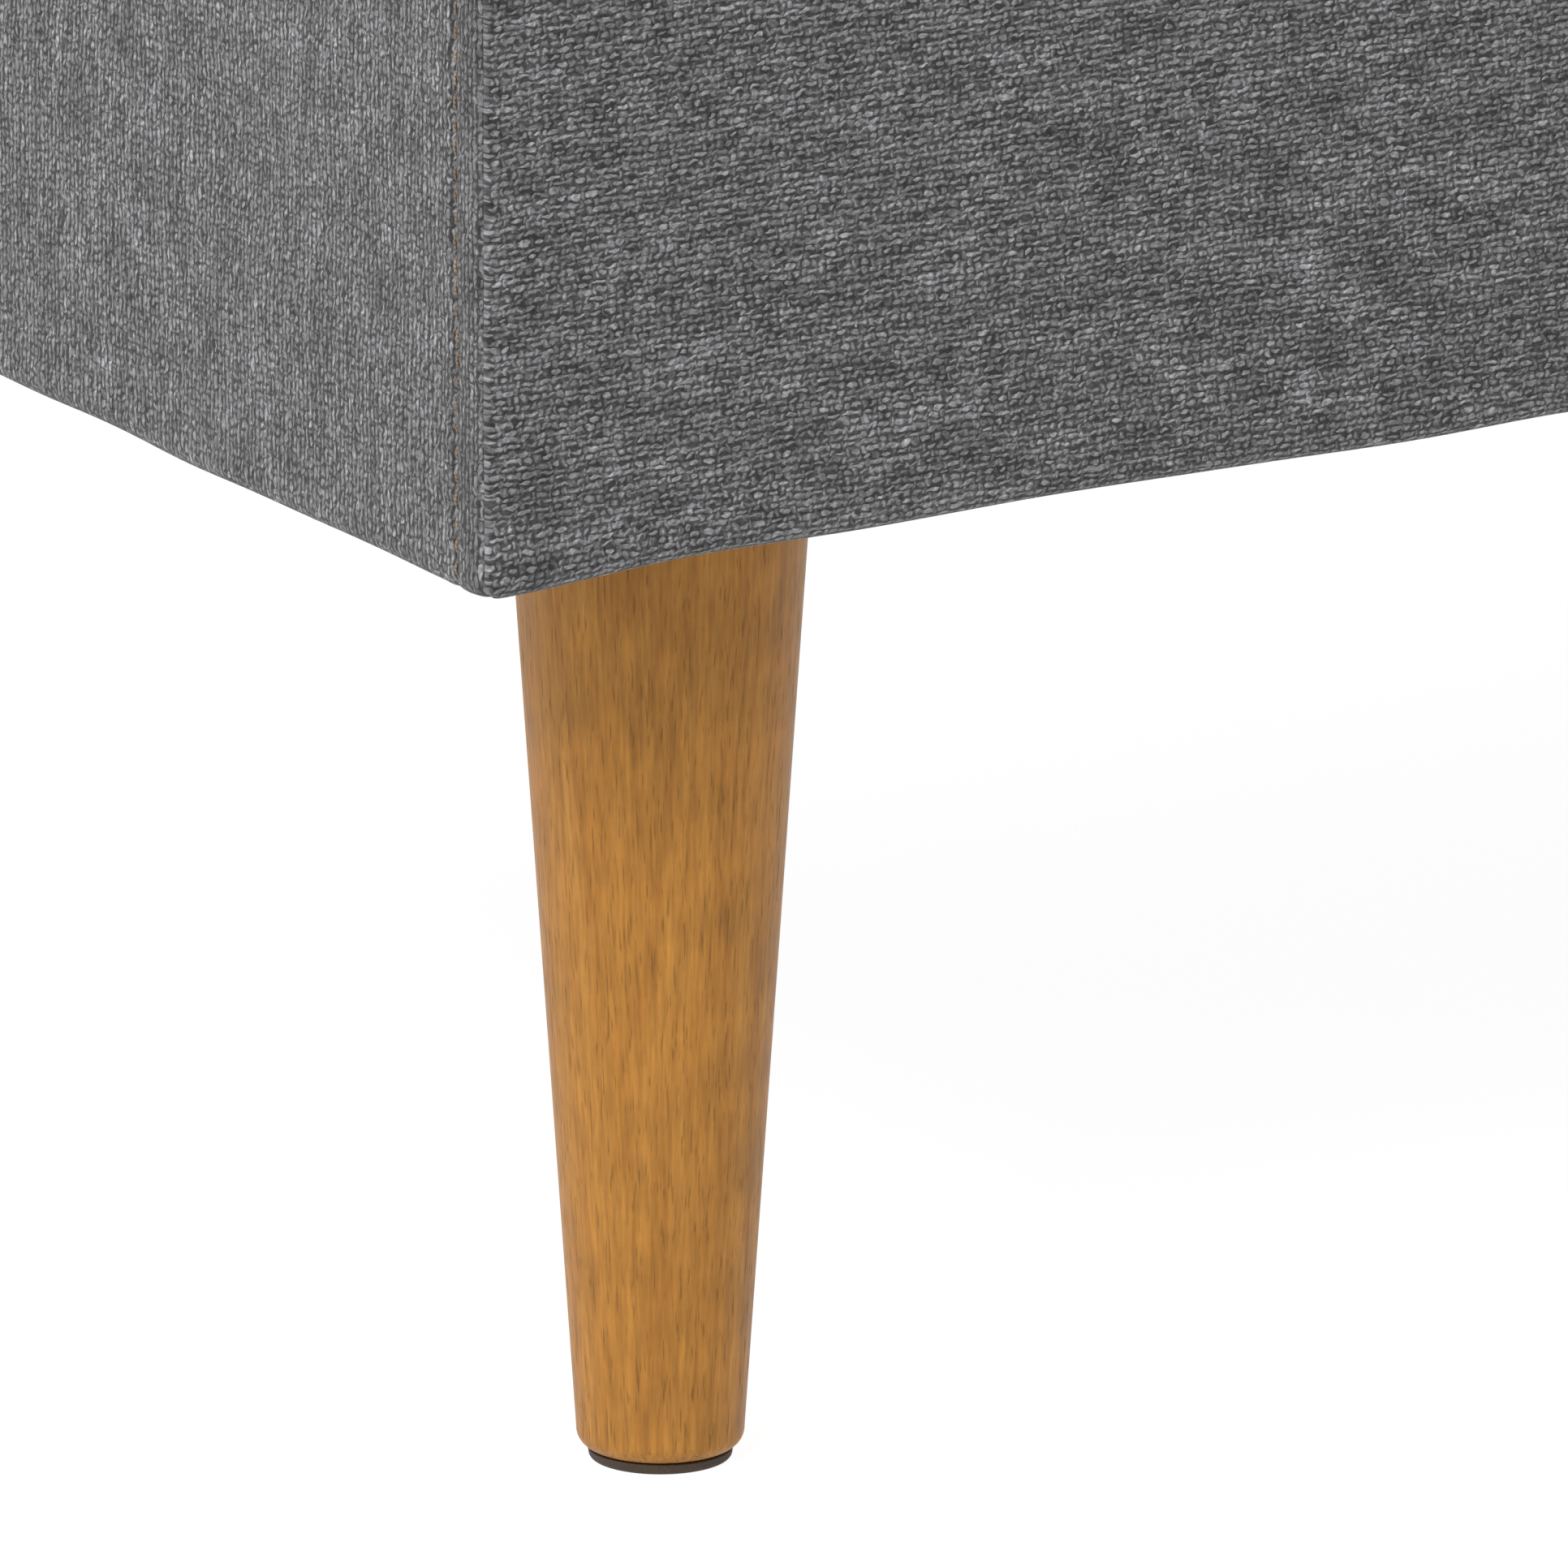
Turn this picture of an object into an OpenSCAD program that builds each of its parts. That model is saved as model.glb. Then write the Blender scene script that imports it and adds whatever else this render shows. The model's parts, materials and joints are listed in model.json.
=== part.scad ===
// Upholstered storage ottoman: a fabric-covered plywood box on four tapered wooden legs, with a
// padded lid on two butt hinges and a two-arm folding stay at each end. Millimetres, +Z up.
// The origin is on the floor under the middle of the overall outline, and the front faces -Y.

/* [Overall] */
// Length of the lid over its fabric
lid_l = 1000; // [800:10:1400]
// Depth from the front of the lid to the back of the hinge knuckles
overall_d = 500; // [410:10:700]
// Height from the floor to the top of the lid
overall_h = 460; // [380:5:560]
// Height from the floor to the fabric under the box
box_clear_h = 180; // [120:5:220]

/* [Lid] */
// How far the lid stands out past the box at the front and the ends
lid_overhang = 6; // [2:1:12]
// Thickness of the lid's plywood
lid_board_t = 15; // [12:0.5:22]
// Thickness of the lid's foam
lid_foam_t = 67; // [30:1:85]
// Width of the cover's turn-under below the lid
lid_fold_w = 25; // [18:1:40]
// How far the lid opens, in degrees
lid_open = 95; // [60:1:115]

/* [Box] */
// Thickness of the four box panels
panel_t = 15; // [12:0.5:22]
// Thickness of the storage floor
base_t = 9; // [6:1:15]
// Height of the rails and leg blocks under the storage floor
rail_h = 30; // [24:1:45]
// Width of the rails
rail_w = 30; // [20:1:40]
// How far a leg block reaches past the leg under it, towards the middle of the box
leg_block_margin = 35; // [25:1:60]
// How far the rails sit up inside the lower edge of the panels
frame_recess = 3.5; // [2:0.5:8]

/* [Upholstery] */
// Thickness of the outer fabric
cover_t = 1.5; // [1:0.25:3]
// Thickness of the wadding between the panels and the fabric
wadding_t = 6; // [3:1:12]
// Thickness of the lining cloth
lining_t = 1; // [0.5:0.25:2]

/* [Legs] */
// Diameter of a leg where it meets the box
leg_top_d = 54; // [40:1:66]
// Diameter of a leg at the floor, before its edge is rounded
leg_foot_d = 29; // [22:1:38]
// Radius of the rounded edge at the foot
leg_foot_r = 3.5; // [1:0.5:5]
// Gap between a leg's top and the end panel
leg_gap_x = 21.5; // [5:0.5:60]
// Gap between a leg's top and the front or rear panel
leg_gap_y = 10.5; // [5:0.5:60]
// How far the pad under a foot sits in from the foot's side
pad_inset = 1.25; // [0.5:0.25:5]
// Thickness of the pad under a foot
pad_t = 2; // [1:0.5:5]
// Diameter of the hanger bolt in a leg
bolt_d = 8; // [6:1:10]
// Depth of the bolt in the leg
bolt_in_leg = 35; // [20:1:50]

/* [Hinges] */
// Length of a hinge
hinge_l = 76; // [50:1:100]
// Distance of each hinge's middle from the end of the box
hinge_inset = 194; // [120:1:300]
// Thickness of a hinge leaf
hinge_leaf_t = 1.5; // [1:0.1:2]
// Width of a leaf from the hinge's axis
hinge_leaf_w = 24; // [20:1:30]
// Outer radius of the hinge knuckles
knuckle_r = 3; // [2.5:0.1:4]
// Radius of the hinge pin
hinge_pin_r = 1.5; // [1:0.1:2]

/* [Lid stays] */
// Distance of the box pivot in front of the hinge's axis
stay_box_fwd = 75; // [60:1:90]
// Gap between the box bracket and the lining on the storage floor
stay_floor_gap = 6; // [4:1:12]
// Distance of the lid pivot in front of the hinge's axis
stay_lid_fwd = 200; // [120:1:260]
// Distance of the lid pivot below the lid's lining
stay_lid_drop = 16; // [13:1:20]
// Width of the stay's arms
stay_w = 18; // [14:1:22]
// Thickness of the stay's arms and brackets
stay_t = 2; // [1.5:0.1:3]
// Radius of the stay's pivots
stay_pin_r = 3; // [2:0.1:4]

/* [Clearances] */
// Gap between a pin and the hole that turns on it, on the radius
running_clear = 0.06; // [0.02:0.01:0.1]
// Gap between parts that slide past each other
face_clear = 0.3; // [0.2:0.05:0.5]
// Gap between the leg and the dust cover's hole, on the radius
leg_hole_clear = 1; // [0.5:0.5:3]
// Gap left between the closed lid and the bumpers under it
bumper_clear = 0.2; // [0.1:0.1:0.5]

/* [Hidden] */
$fn = 64;

// Sides: -1 is left or front, +1 is right or rear.
LEFT = -1;
RIGHT = 1;
FRONT = -1;
REAR = 1;

// Colours of the materials
FABRIC = [0.40, 0.40, 0.41];
LEG_WOOD = [0.69, 0.48, 0.25];
PLYWOOD = [0.80, 0.68, 0.48];
PINE = [0.86, 0.73, 0.52];
STEEL = [0.72, 0.73, 0.75];
LINING = [0.10, 0.10, 0.11];
FOAM = [0.93, 0.90, 0.78];
WADDING = [0.94, 0.94, 0.92];
RUBBER = [0.20, 0.16, 0.13];

// Heights
lid_gap = 2 * hinge_leaf_t;
lid_t = 2 * cover_t + lid_board_t + lid_foam_t;
lid_z0 = overall_h - lid_t;
lid_board_z0 = lid_z0 + cover_t;
lid_foam_z0 = lid_board_z0 + lid_board_t;
box_z0 = box_clear_h;
box_z1 = lid_z0 - lid_gap;
panel_z0 = box_z0 + cover_t;
panel_z1 = box_z1 - cover_t;
frame_z0 = panel_z0 + frame_recess;
base_z0 = frame_z0 + rail_h;
base_z1 = base_z0 + base_t;

// Plan
box_l = lid_l - 2 * lid_overhang;
box_front_y = -overall_d / 2 + lid_overhang;
box_rear_y = overall_d / 2 - 2 * knuckle_r;
skin_t = cover_t + wadding_t;
wall_t = skin_t + panel_t;
lid_front_y = -overall_d / 2;
lid_rear_y = box_rear_y;
leg_inset_x = wall_t + leg_gap_x + leg_top_d / 2;
leg_inset_y = wall_t + leg_gap_y + leg_top_d / 2;
leg_block_l = leg_gap_x + leg_top_d + leg_block_margin;
leg_block_w = leg_gap_y + leg_top_d + leg_block_margin;
hinge_x = box_l / 2 - hinge_inset;

// A point's X at a distance in from the left or right end of the box
function end_x(side, inset) = side * (box_l / 2 - inset);
// A point's Y at a distance in from the front or rear of the box
function face_y(side, inset) = side < 0 ? box_front_y + inset : box_rear_y - inset;

// A box between any two opposite corners
module block(a, b) {
    lo = [for (i = [0:2]) min(a[i], b[i])];
    hi = [for (i = [0:2]) max(a[i], b[i])];
    translate(lo) cube(hi - lo);
}

// A rectangular ring between two heights: outer and inner are [x half length, front y, rear y]
module ring(outer, inner, z0, z1) {
    difference() {
        block([-outer[0], outer[1], z0], [outer[0], outer[2], z1]);
        block([-inner[0], inner[1], z0 - 1], [inner[0], inner[2], z1 + 1]);
    }
}

// ---- Screws ----
wood_screw_r = 1.75;
wood_screw_head_r = 3.4;
wood_screw_head_t = 1.6;
panel_screw_r = 2;
panel_screw_head_r = 4;
panel_screw_head_t = 2.4;
panel_screw_l = 42;
hardware_screw_l = 13;

// A countersunk screw along +Z, with the flat of its head at z = 0
module screw(r, head_r, head_t, length) {
    cylinder(r1 = head_r, r2 = r, h = head_t);
    cylinder(r = r, h = length);
}

module hardware_screw() screw(wood_screw_r, wood_screw_head_r, wood_screw_head_t, hardware_screw_l);

// The panel screws' places: through the front and rear panels into the ends of the end panels
panel_screw_margin = 32;
panel_screw_rows = 3;
module panel_screw_set() {
    spacing = (panel_z1 - panel_z0 - 2 * panel_screw_margin) / (panel_screw_rows - 1);
    for (side = [LEFT, RIGHT], face = [FRONT, REAR], row = [0:panel_screw_rows - 1])
        translate([end_x(side, skin_t + panel_t / 2), face_y(face, skin_t),
                panel_z0 + panel_screw_margin + row * spacing])
            rotate([face * 90, 0, 0])
                screw(panel_screw_r, panel_screw_head_r, panel_screw_head_t, panel_screw_l);
}

module panel_screws() color(STEEL) panel_screw_set();

// ---- Box panels ----
module long_panel(face) color(PLYWOOD) {
    difference() {
        block([end_x(LEFT, skin_t), face_y(face, skin_t), panel_z0],
            [end_x(RIGHT, skin_t), face_y(face, wall_t), panel_z1]);
        panel_screw_set();
        if (face == REAR) hinge_screws(into_lid = false);
    }
}

module end_panel(side) color(PLYWOOD) {
    difference() {
        block([end_x(side, skin_t), face_y(FRONT, wall_t), panel_z0],
            [end_x(side, wall_t), face_y(REAR, wall_t), panel_z1]);
        panel_screw_set();
        stay_body_screws(side);
    }
}

module base_board() color(PLYWOOD)
    block([end_x(LEFT, wall_t), face_y(FRONT, wall_t), base_z0],
        [end_x(RIGHT, wall_t), face_y(REAR, wall_t), base_z1]);

// ---- Rails and leg blocks ----
module long_rail(face) color(PINE)
    block([end_x(LEFT, wall_t + leg_block_l), face_y(face, wall_t), frame_z0],
        [end_x(RIGHT, wall_t + leg_block_l), face_y(face, wall_t + rail_w), base_z0]);

module end_rail(side) color(PINE)
    block([end_x(side, wall_t), face_y(FRONT, wall_t + leg_block_w), frame_z0],
        [end_x(side, wall_t + rail_w), face_y(REAR, wall_t + leg_block_w), base_z0]);

module at_leg(side, face) translate([end_x(side, leg_inset_x), face_y(face, leg_inset_y), 0]) children();

tee_flange_r = 11;
tee_flange_t = 1.5;
tee_barrel_r = bolt_d / 2 + 1;
tee_barrel_l = 10;
bolt_clear = 0.5;
module leg_block(side, face) color(PINE) {
    difference() {
        block([end_x(side, wall_t), face_y(face, wall_t), frame_z0],
            [end_x(side, wall_t + leg_block_l), face_y(face, wall_t + leg_block_w), base_z0]);
        at_leg(side, face) {
            translate([0, 0, frame_z0 - 1]) cylinder(r = bolt_d / 2 + bolt_clear, h = rail_h + 2);
            translate([0, 0, base_z0 - tee_flange_t - tee_barrel_l])
                cylinder(r = tee_barrel_r, h = tee_barrel_l + 1);
            translate([0, 0, base_z0 - tee_flange_t]) cylinder(r = tee_flange_r, h = tee_flange_t + 1);
        }
    }
}

module every_leg() for (side = [LEFT, RIGHT], face = [FRONT, REAR]) at_leg(side, face) children();

module leg_tee_nuts() color(STEEL) every_leg() {
    difference() {
        union() {
            translate([0, 0, base_z0 - tee_flange_t]) cylinder(r = tee_flange_r, h = tee_flange_t);
            translate([0, 0, base_z0 - tee_flange_t - tee_barrel_l])
                cylinder(r = tee_barrel_r, h = tee_barrel_l + tee_flange_t);
        }
        translate([0, 0, base_z0 - tee_flange_t - tee_barrel_l - 1])
            cylinder(r = bolt_d / 2, h = tee_barrel_l + tee_flange_t + 2);
    }
}

bolt_end_gap = 2;
module leg_bolts() color(STEEL) every_leg()
    translate([0, 0, frame_z0 - bolt_in_leg])
        cylinder(d = bolt_d, h = bolt_in_leg + rail_h - bolt_end_gap);

// ---- Legs ----
foot_arc_steps = 8;
// The leg's half outline: a straight taper with a rounded edge at the foot
function leg_outline() =
    let (h = frame_z0 - pad_t, top_r = leg_top_d / 2, foot_r = leg_foot_d / 2,
        lean = atan((top_r - foot_r) / h),
        centre_x = foot_r + leg_foot_r * tan(lean) - leg_foot_r / cos(lean))
    concat([[0, 0]],
        [for (i = [0:foot_arc_steps]) let (a = -90 + (90 - lean) * i / foot_arc_steps)
            [centre_x + leg_foot_r * cos(a), leg_foot_r + leg_foot_r * sin(a)]],
        [[top_r, h], [0, h]]);

module leg(side, face) color(LEG_WOOD) at_leg(side, face) {
    difference() {
        translate([0, 0, pad_t]) rotate_extrude() polygon(leg_outline());
        translate([0, 0, frame_z0 - bolt_in_leg]) cylinder(d = bolt_d, h = bolt_in_leg + 1);
    }
}

module foot_pad(side, face) color(RUBBER) at_leg(side, face)
    cylinder(d = leg_foot_d - 2 * pad_inset, h = pad_t);

// ---- Outer cover and wadding ----
module body_wadding() color(WADDING)
    ring([box_l / 2 - cover_t, face_y(FRONT, cover_t), face_y(REAR, cover_t)],
        [box_l / 2 - skin_t, face_y(FRONT, skin_t), face_y(REAR, skin_t)], panel_z0, panel_z1);

// A cover panel is the wall's fabric with a turn over the panel's top edge and under its bottom edge
module long_cover(face) color(FABRIC) {
    difference() {
        union() {
            block([end_x(LEFT, 0), face_y(face, 0), box_z0],
                [end_x(RIGHT, 0), face_y(face, cover_t), box_z1]);
            for (z = [box_z0, panel_z1])
                block([end_x(LEFT, 0), face_y(face, 0), z],
                    [end_x(RIGHT, 0), face_y(face, wall_t), z + cover_t]);
        }
        if (face == REAR) hinge_screws(into_lid = false);
    }
}

module end_cover(side) color(FABRIC) {
    block([end_x(side, 0), face_y(FRONT, cover_t), panel_z0],
        [end_x(side, cover_t), face_y(REAR, cover_t), panel_z1]);
    for (z = [box_z0, panel_z1])
        block([end_x(side, 0), face_y(FRONT, wall_t), z],
            [end_x(side, wall_t), face_y(REAR, wall_t), z + cover_t]);
}

// ---- Linings ----
module storage_lining() color(LINING) {
    difference() {
        block([end_x(LEFT, wall_t), face_y(FRONT, wall_t), base_z1],
            [end_x(RIGHT, wall_t), face_y(REAR, wall_t), panel_z1]);
        block([end_x(LEFT, wall_t + lining_t), face_y(FRONT, wall_t + lining_t), base_z1 + lining_t],
            [end_x(RIGHT, wall_t + lining_t), face_y(REAR, wall_t + lining_t), panel_z1 + 1]);
        for (side = [LEFT, RIGHT]) stay_body_screws(side);
    }
}

module dust_cover() color(LINING) {
    difference() {
        block([end_x(LEFT, wall_t), face_y(FRONT, wall_t), frame_z0 - lining_t],
            [end_x(RIGHT, wall_t), face_y(REAR, wall_t), frame_z0]);
        every_leg() translate([0, 0, frame_z0 - lining_t - 1])
            cylinder(r = leg_top_d / 2 + leg_hole_clear, h = lining_t + 2);
    }
}

// ---- Staples: the crowns that show, in rows round a cloth's edge ----
staple_l = 10;
staple_w = 1;
staple_t = 0.6;
staple_pitch = 60;
staple_edge = 8;
NO_SKIP = [1, -1];

// A row of staples along X, centred on the origin, without those between the two values in skip
module staple_row(length, skip = NO_SKIP) {
    count = floor(length / staple_pitch);
    for (i = [0:count]) {
        middle = (i - count / 2) * staple_pitch;
        if (middle < skip[0] || middle > skip[1])
            translate([middle - staple_l / 2, -staple_w / 2, 0]) cube([staple_l, staple_w, staple_t]);
    }
}

// Rows along both faces and both ends of a rectangle, top at z, with the end rows kept clear of skip
module staple_frame(x_half, front_y, rear_y, z, skip = NO_SKIP) {
    middle_y = (front_y + rear_y) / 2;
    for (y = [front_y, rear_y])
        translate([0, y, z - staple_t]) staple_row(2 * x_half - 2 * staple_pitch);
    for (x = [-x_half, x_half])
        translate([x, middle_y, z - staple_t]) rotate([0, 0, 90])
            staple_row(rear_y - front_y - 2 * staple_pitch, [skip[0] - middle_y, skip[1] - middle_y]);
}

module dust_cover_staples() color(STEEL)
    staple_frame(box_l / 2 - wall_t - staple_edge, face_y(FRONT, wall_t + staple_edge),
        face_y(REAR, wall_t + staple_edge), frame_z0 - lining_t);

// The lid's end rows leave room for the stays' brackets
module lid_staples() color(STEEL)
    staple_frame(lid_l / 2 - lid_fold_w - staple_edge, lid_front_y + lid_fold_w + staple_edge,
        lid_rear_y - lid_fold_w - staple_edge, lid_under_z,
        [lid_pivot[0] - flange_l / 2 - staple_l, lid_pivot[0] + flange_l / 2 + staple_l]);

// ---- Bumpers on the rim ----
bumper_r = 6;
bumper_x = 60;
module rim_bumpers() color(RUBBER)
    for (side = [LEFT, RIGHT], face = [FRONT, REAR])
        translate([end_x(side, bumper_x), face_y(face, wall_t / 2), box_z1])
            cylinder(r = bumper_r, h = lid_gap - bumper_clear);

// ---- Hinges ----
hinge_y = overall_d / 2 - knuckle_r;
hinge_z = lid_z0 - lid_gap / 2;
knuckle_count = 5;
knuckle_gap = 0.2;
knuckle_pitch = hinge_l / knuckle_count;
hinge_screw_count = 3;
hinge_screw_pitch = hinge_l / hinge_screw_count;
hinge_screw_y = hinge_y - face_y(REAR, skin_t + panel_t / 2);

// One leaf about the X axis, its plate on the side of up (+1 above the axis, -1 below). Its knuckles
// are every other one from first.
module leaf(first, up, pin_hole_r) {
    plate_y = -knuckle_r - face_clear;
    knuckle_l = knuckle_pitch - knuckle_gap;
    difference() {
        union() {
            block([-hinge_l / 2, -hinge_leaf_w, 0], [hinge_l / 2, plate_y, up * hinge_leaf_t]);
            for (i = [first:2:knuckle_count - 1])
                translate([-hinge_l / 2 + i * knuckle_pitch + knuckle_gap / 2, 0, 0]) {
                    block([0, plate_y, 0], [knuckle_l, 0, up * hinge_leaf_t]);
                    rotate([0, 90, 0]) cylinder(r = knuckle_r, h = knuckle_l);
                }
        }
        translate([-hinge_l, 0, 0]) rotate([0, 90, 0]) cylinder(r = pin_hole_r, h = 2 * hinge_l);
        hinge_screw_row(up);
    }
}

// A leaf's screws: their heads are flush with the face that closes against the other leaf
module hinge_screw_row(up)
    for (i = [0:hinge_screw_count - 1])
        translate([(i - (hinge_screw_count - 1) / 2) * hinge_screw_pitch, -hinge_screw_y, 0])
            rotate([up > 0 ? 0 : 180, 0, 0]) hardware_screw();

module at_hinge(side) translate([side * hinge_x, hinge_y, hinge_z]) children();

module hinge_screws(into_lid)
    for (side = [LEFT, RIGHT]) at_hinge(side) hinge_screw_row(into_lid ? 1 : -1);

module hinge_body_leaf(side) color(STEEL) at_hinge(side) leaf(0, -1, hinge_pin_r);

module hinge_lid_leaf(side) color(STEEL) at_hinge(side) leaf(1, 1, hinge_pin_r + running_clear);

module hinge_pins() color(STEEL) for (side = [LEFT, RIGHT]) at_hinge(side)
    translate([-hinge_l / 2, 0, 0]) rotate([0, 90, 0]) cylinder(r = hinge_pin_r, h = hinge_l);

// ---- Lid stays: a parallelogram of the hinge axis, box pivot, elbow and lid pivot, as [y, z] ----
bracket_w = 24;
bracket_h = stay_w + 26;
bracket_screw_z = stay_w / 2 + 7;
lid_under_z = lid_board_z0 - lining_t;
hinge_at = [hinge_y, hinge_z];
box_pivot = [hinge_y - stay_box_fwd, base_z1 + lining_t + stay_floor_gap + bracket_h / 2];
lid_pivot = [hinge_y - stay_lid_fwd, lid_under_z - stay_lid_drop];
elbow = box_pivot + lid_pivot - hinge_at;

// Distances in from the end of the box to the near face of each layer
bracket_in = wall_t + lining_t;
lower_in = bracket_in + stay_t + face_clear;
upper_in = lower_in + stay_t + face_clear;
ear_in = upper_in + stay_t + face_clear;
stay_head_r = stay_pin_r + 2.5;
stay_head_t = 1.5;
flange_w = 22;
flange_l = 60;
flange_screw_y = 22;
flange_screw_x = 13;

// A flat shape drawn as [y, z], made solid from one inset to another at an end of the box
module layer(side, from, thick)
    translate([min(end_x(side, from), end_x(side, from + thick)), 0, 0])
        rotate([90, 0, 90]) linear_extrude(thick) children();

// A bar with round ends between two points
module bar(p, q) translate(p) rotate(atan2(q[1] - p[1], q[0] - p[0])) {
    for (end = [0, norm(q - p)]) translate([end, 0]) circle(d = stay_w);
    translate([0, -stay_w / 2]) square([norm(q - p), stay_w]);
}

module pin_disc(at, r) translate(at) circle(r = r);

module stay_body_screws(side)
    for (up = [-1, 1])
        translate([end_x(side, bracket_in + stay_t), box_pivot[0], box_pivot[1] + up * bracket_screw_z])
            rotate([0, side * 90, 0]) hardware_screw();

module stay_body_bracket(side) color(STEEL) {
    difference() {
        layer(side, bracket_in, stay_t) translate(box_pivot - [bracket_w, bracket_h] / 2)
            square([bracket_w, bracket_h]);
        stay_body_screws(side);
    }
    layer(side, bracket_in + stay_t, stay_t + 2 * face_clear) pin_disc(box_pivot, stay_pin_r);
    layer(side, lower_in + stay_t + face_clear, stay_head_t) pin_disc(box_pivot, stay_head_r);
}

// The elbow's stop, in a frame on the elbow whose X axis is the upper arm's line when the lid is open
stop_tab_from = 10;
stop_tab_l = 8;
stop_tab_t = 2.5;
stop_plate_edge = 1;
stop_y = stay_w / 2 + face_clear;
module at_stop() translate(elbow)
    rotate(atan2(hinge_at[1] - box_pivot[1], hinge_at[0] - box_pivot[0]) + lid_open) children();

module stay_lower_arm(side) color(STEEL) {
    layer(side, lower_in, stay_t) difference() {
        union() {
            bar(box_pivot, elbow);
            at_stop() square([stop_tab_from + stop_tab_l, stop_y + stop_tab_t]
                + [stop_plate_edge, stop_plate_edge]);
        }
        pin_disc(box_pivot, stay_pin_r + running_clear);
        pin_disc(elbow, stay_pin_r);
    }
    layer(side, lower_in + stay_t / 2, 1.5 * stay_t + face_clear)
        at_stop() translate([stop_tab_from, stop_y]) square([stop_tab_l, stop_tab_t]);
}

module stay_elbow_rivet(side) color(STEEL) {
    layer(side, lower_in - stay_head_t / 2, stay_head_t / 2) pin_disc(elbow, stay_head_r);
    layer(side, lower_in, 2 * stay_t + 2 * face_clear) pin_disc(elbow, stay_pin_r);
    layer(side, upper_in + stay_t + face_clear, stay_head_t) pin_disc(elbow, stay_head_r);
}

module stay_upper_arm(side) color(STEEL) layer(side, upper_in, stay_t) difference() {
    bar(elbow, lid_pivot);
    pin_disc(elbow, stay_pin_r + running_clear);
    pin_disc(lid_pivot, stay_pin_r + running_clear);
}

module stay_lid_screws(side)
    for (along = [-1, 1])
        translate([end_x(side, ear_in + flange_screw_x), lid_pivot[0] + along * flange_screw_y,
                lid_under_z - stay_t])
            hardware_screw();

module stay_lid_bracket(side) color(STEEL) {
    difference() {
        block([end_x(side, ear_in), lid_pivot[0] - flange_l / 2, lid_under_z],
            [end_x(side, ear_in + flange_w), lid_pivot[0] + flange_l / 2, lid_under_z - stay_t]);
        stay_lid_screws(side);
    }
    layer(side, ear_in, stay_t) {
        translate(lid_pivot) circle(d = stay_w);
        translate(lid_pivot - [stay_w / 2, 0]) square([stay_w, lid_under_z - lid_pivot[1]]);
    }
    layer(side, upper_in - face_clear, stay_t + 2 * face_clear) pin_disc(lid_pivot, stay_pin_r);
    layer(side, upper_in - face_clear - stay_head_t, stay_head_t) pin_disc(lid_pivot, stay_head_r);
}

module body_hardware_screws() color(STEEL) {
    hinge_screws(into_lid = false);
    for (side = [LEFT, RIGHT]) stay_body_screws(side);
}

module lid_hardware_screws() color(STEEL) {
    hinge_screws(into_lid = true);
    for (side = [LEFT, RIGHT]) stay_lid_screws(side);
}

// ---- Lid ----
module lid_board() color(PLYWOOD) {
    difference() {
        block([-lid_l / 2 + cover_t, lid_front_y + cover_t, lid_board_z0],
            [lid_l / 2 - cover_t, lid_rear_y - cover_t, lid_foam_z0]);
        lid_hardware_screws();
    }
}

module lid_foam() color(FOAM)
    block([-lid_l / 2 + cover_t, lid_front_y + cover_t, lid_foam_z0],
        [lid_l / 2 - cover_t, lid_rear_y - cover_t, overall_h - cover_t]);

module lid_cover_top() color(FABRIC)
    block([-lid_l / 2, lid_front_y, overall_h - cover_t], [lid_l / 2, lid_rear_y, overall_h]);

// A boxing strip up the lid's side, with its turn-under below the board
module lid_cover_long(face) color(FABRIC) {
    y = face < 0 ? lid_front_y : lid_rear_y;
    difference() {
        union() {
            block([-lid_l / 2, y, lid_z0], [lid_l / 2, y - face * cover_t, overall_h - cover_t]);
            block([-lid_l / 2, y, lid_z0], [lid_l / 2, y - face * lid_fold_w, lid_board_z0]);
        }
        if (face == REAR) hinge_screws(into_lid = true);
    }
}

module lid_cover_end(side) color(FABRIC) {
    x = side * lid_l / 2;
    block([x, lid_front_y + cover_t, lid_board_z0],
        [x - side * cover_t, lid_rear_y - cover_t, overall_h - cover_t]);
    block([x, lid_front_y + lid_fold_w, lid_z0],
        [x - side * lid_fold_w, lid_rear_y - lid_fold_w, lid_board_z0]);
}

module lid_lining() color(LINING) {
    difference() {
        block([-lid_l / 2 + lid_fold_w, lid_front_y + lid_fold_w, lid_under_z],
            [lid_l / 2 - lid_fold_w, lid_rear_y - lid_fold_w, lid_board_z0]);
        for (side = [LEFT, RIGHT]) stay_lid_screws(side);
    }
}

long_panel(FRONT);  // front_panel
long_panel(REAR);  // rear_panel
end_panel(LEFT);  // left_panel
end_panel(RIGHT);  // right_panel
base_board();
long_rail(FRONT);  // base_rail_front
long_rail(REAR);  // base_rail_rear
end_rail(LEFT);  // base_rail_left
end_rail(RIGHT);  // base_rail_right
leg_block(LEFT, FRONT);  // leg_block_front_left
leg_block(RIGHT, FRONT);  // leg_block_front_right
leg_block(LEFT, REAR);  // leg_block_rear_left
leg_block(RIGHT, REAR);  // leg_block_rear_right
leg(LEFT, FRONT);  // leg_front_left
leg(RIGHT, FRONT);  // leg_front_right
leg(LEFT, REAR);  // leg_rear_left
leg(RIGHT, REAR);  // leg_rear_right
foot_pad(LEFT, FRONT);  // foot_pad_front_left
foot_pad(RIGHT, FRONT);  // foot_pad_front_right
foot_pad(LEFT, REAR);  // foot_pad_rear_left
foot_pad(RIGHT, REAR);  // foot_pad_rear_right
leg_bolts();
leg_tee_nuts();
panel_screws();
body_wadding();
long_cover(FRONT);  // body_cover_front
long_cover(REAR);  // body_cover_rear
end_cover(LEFT);  // body_cover_left
end_cover(RIGHT);  // body_cover_right
storage_lining();
dust_cover();
dust_cover_staples();
rim_bumpers();
hinge_body_leaf(LEFT);  // hinge_body_leaf_left
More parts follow.
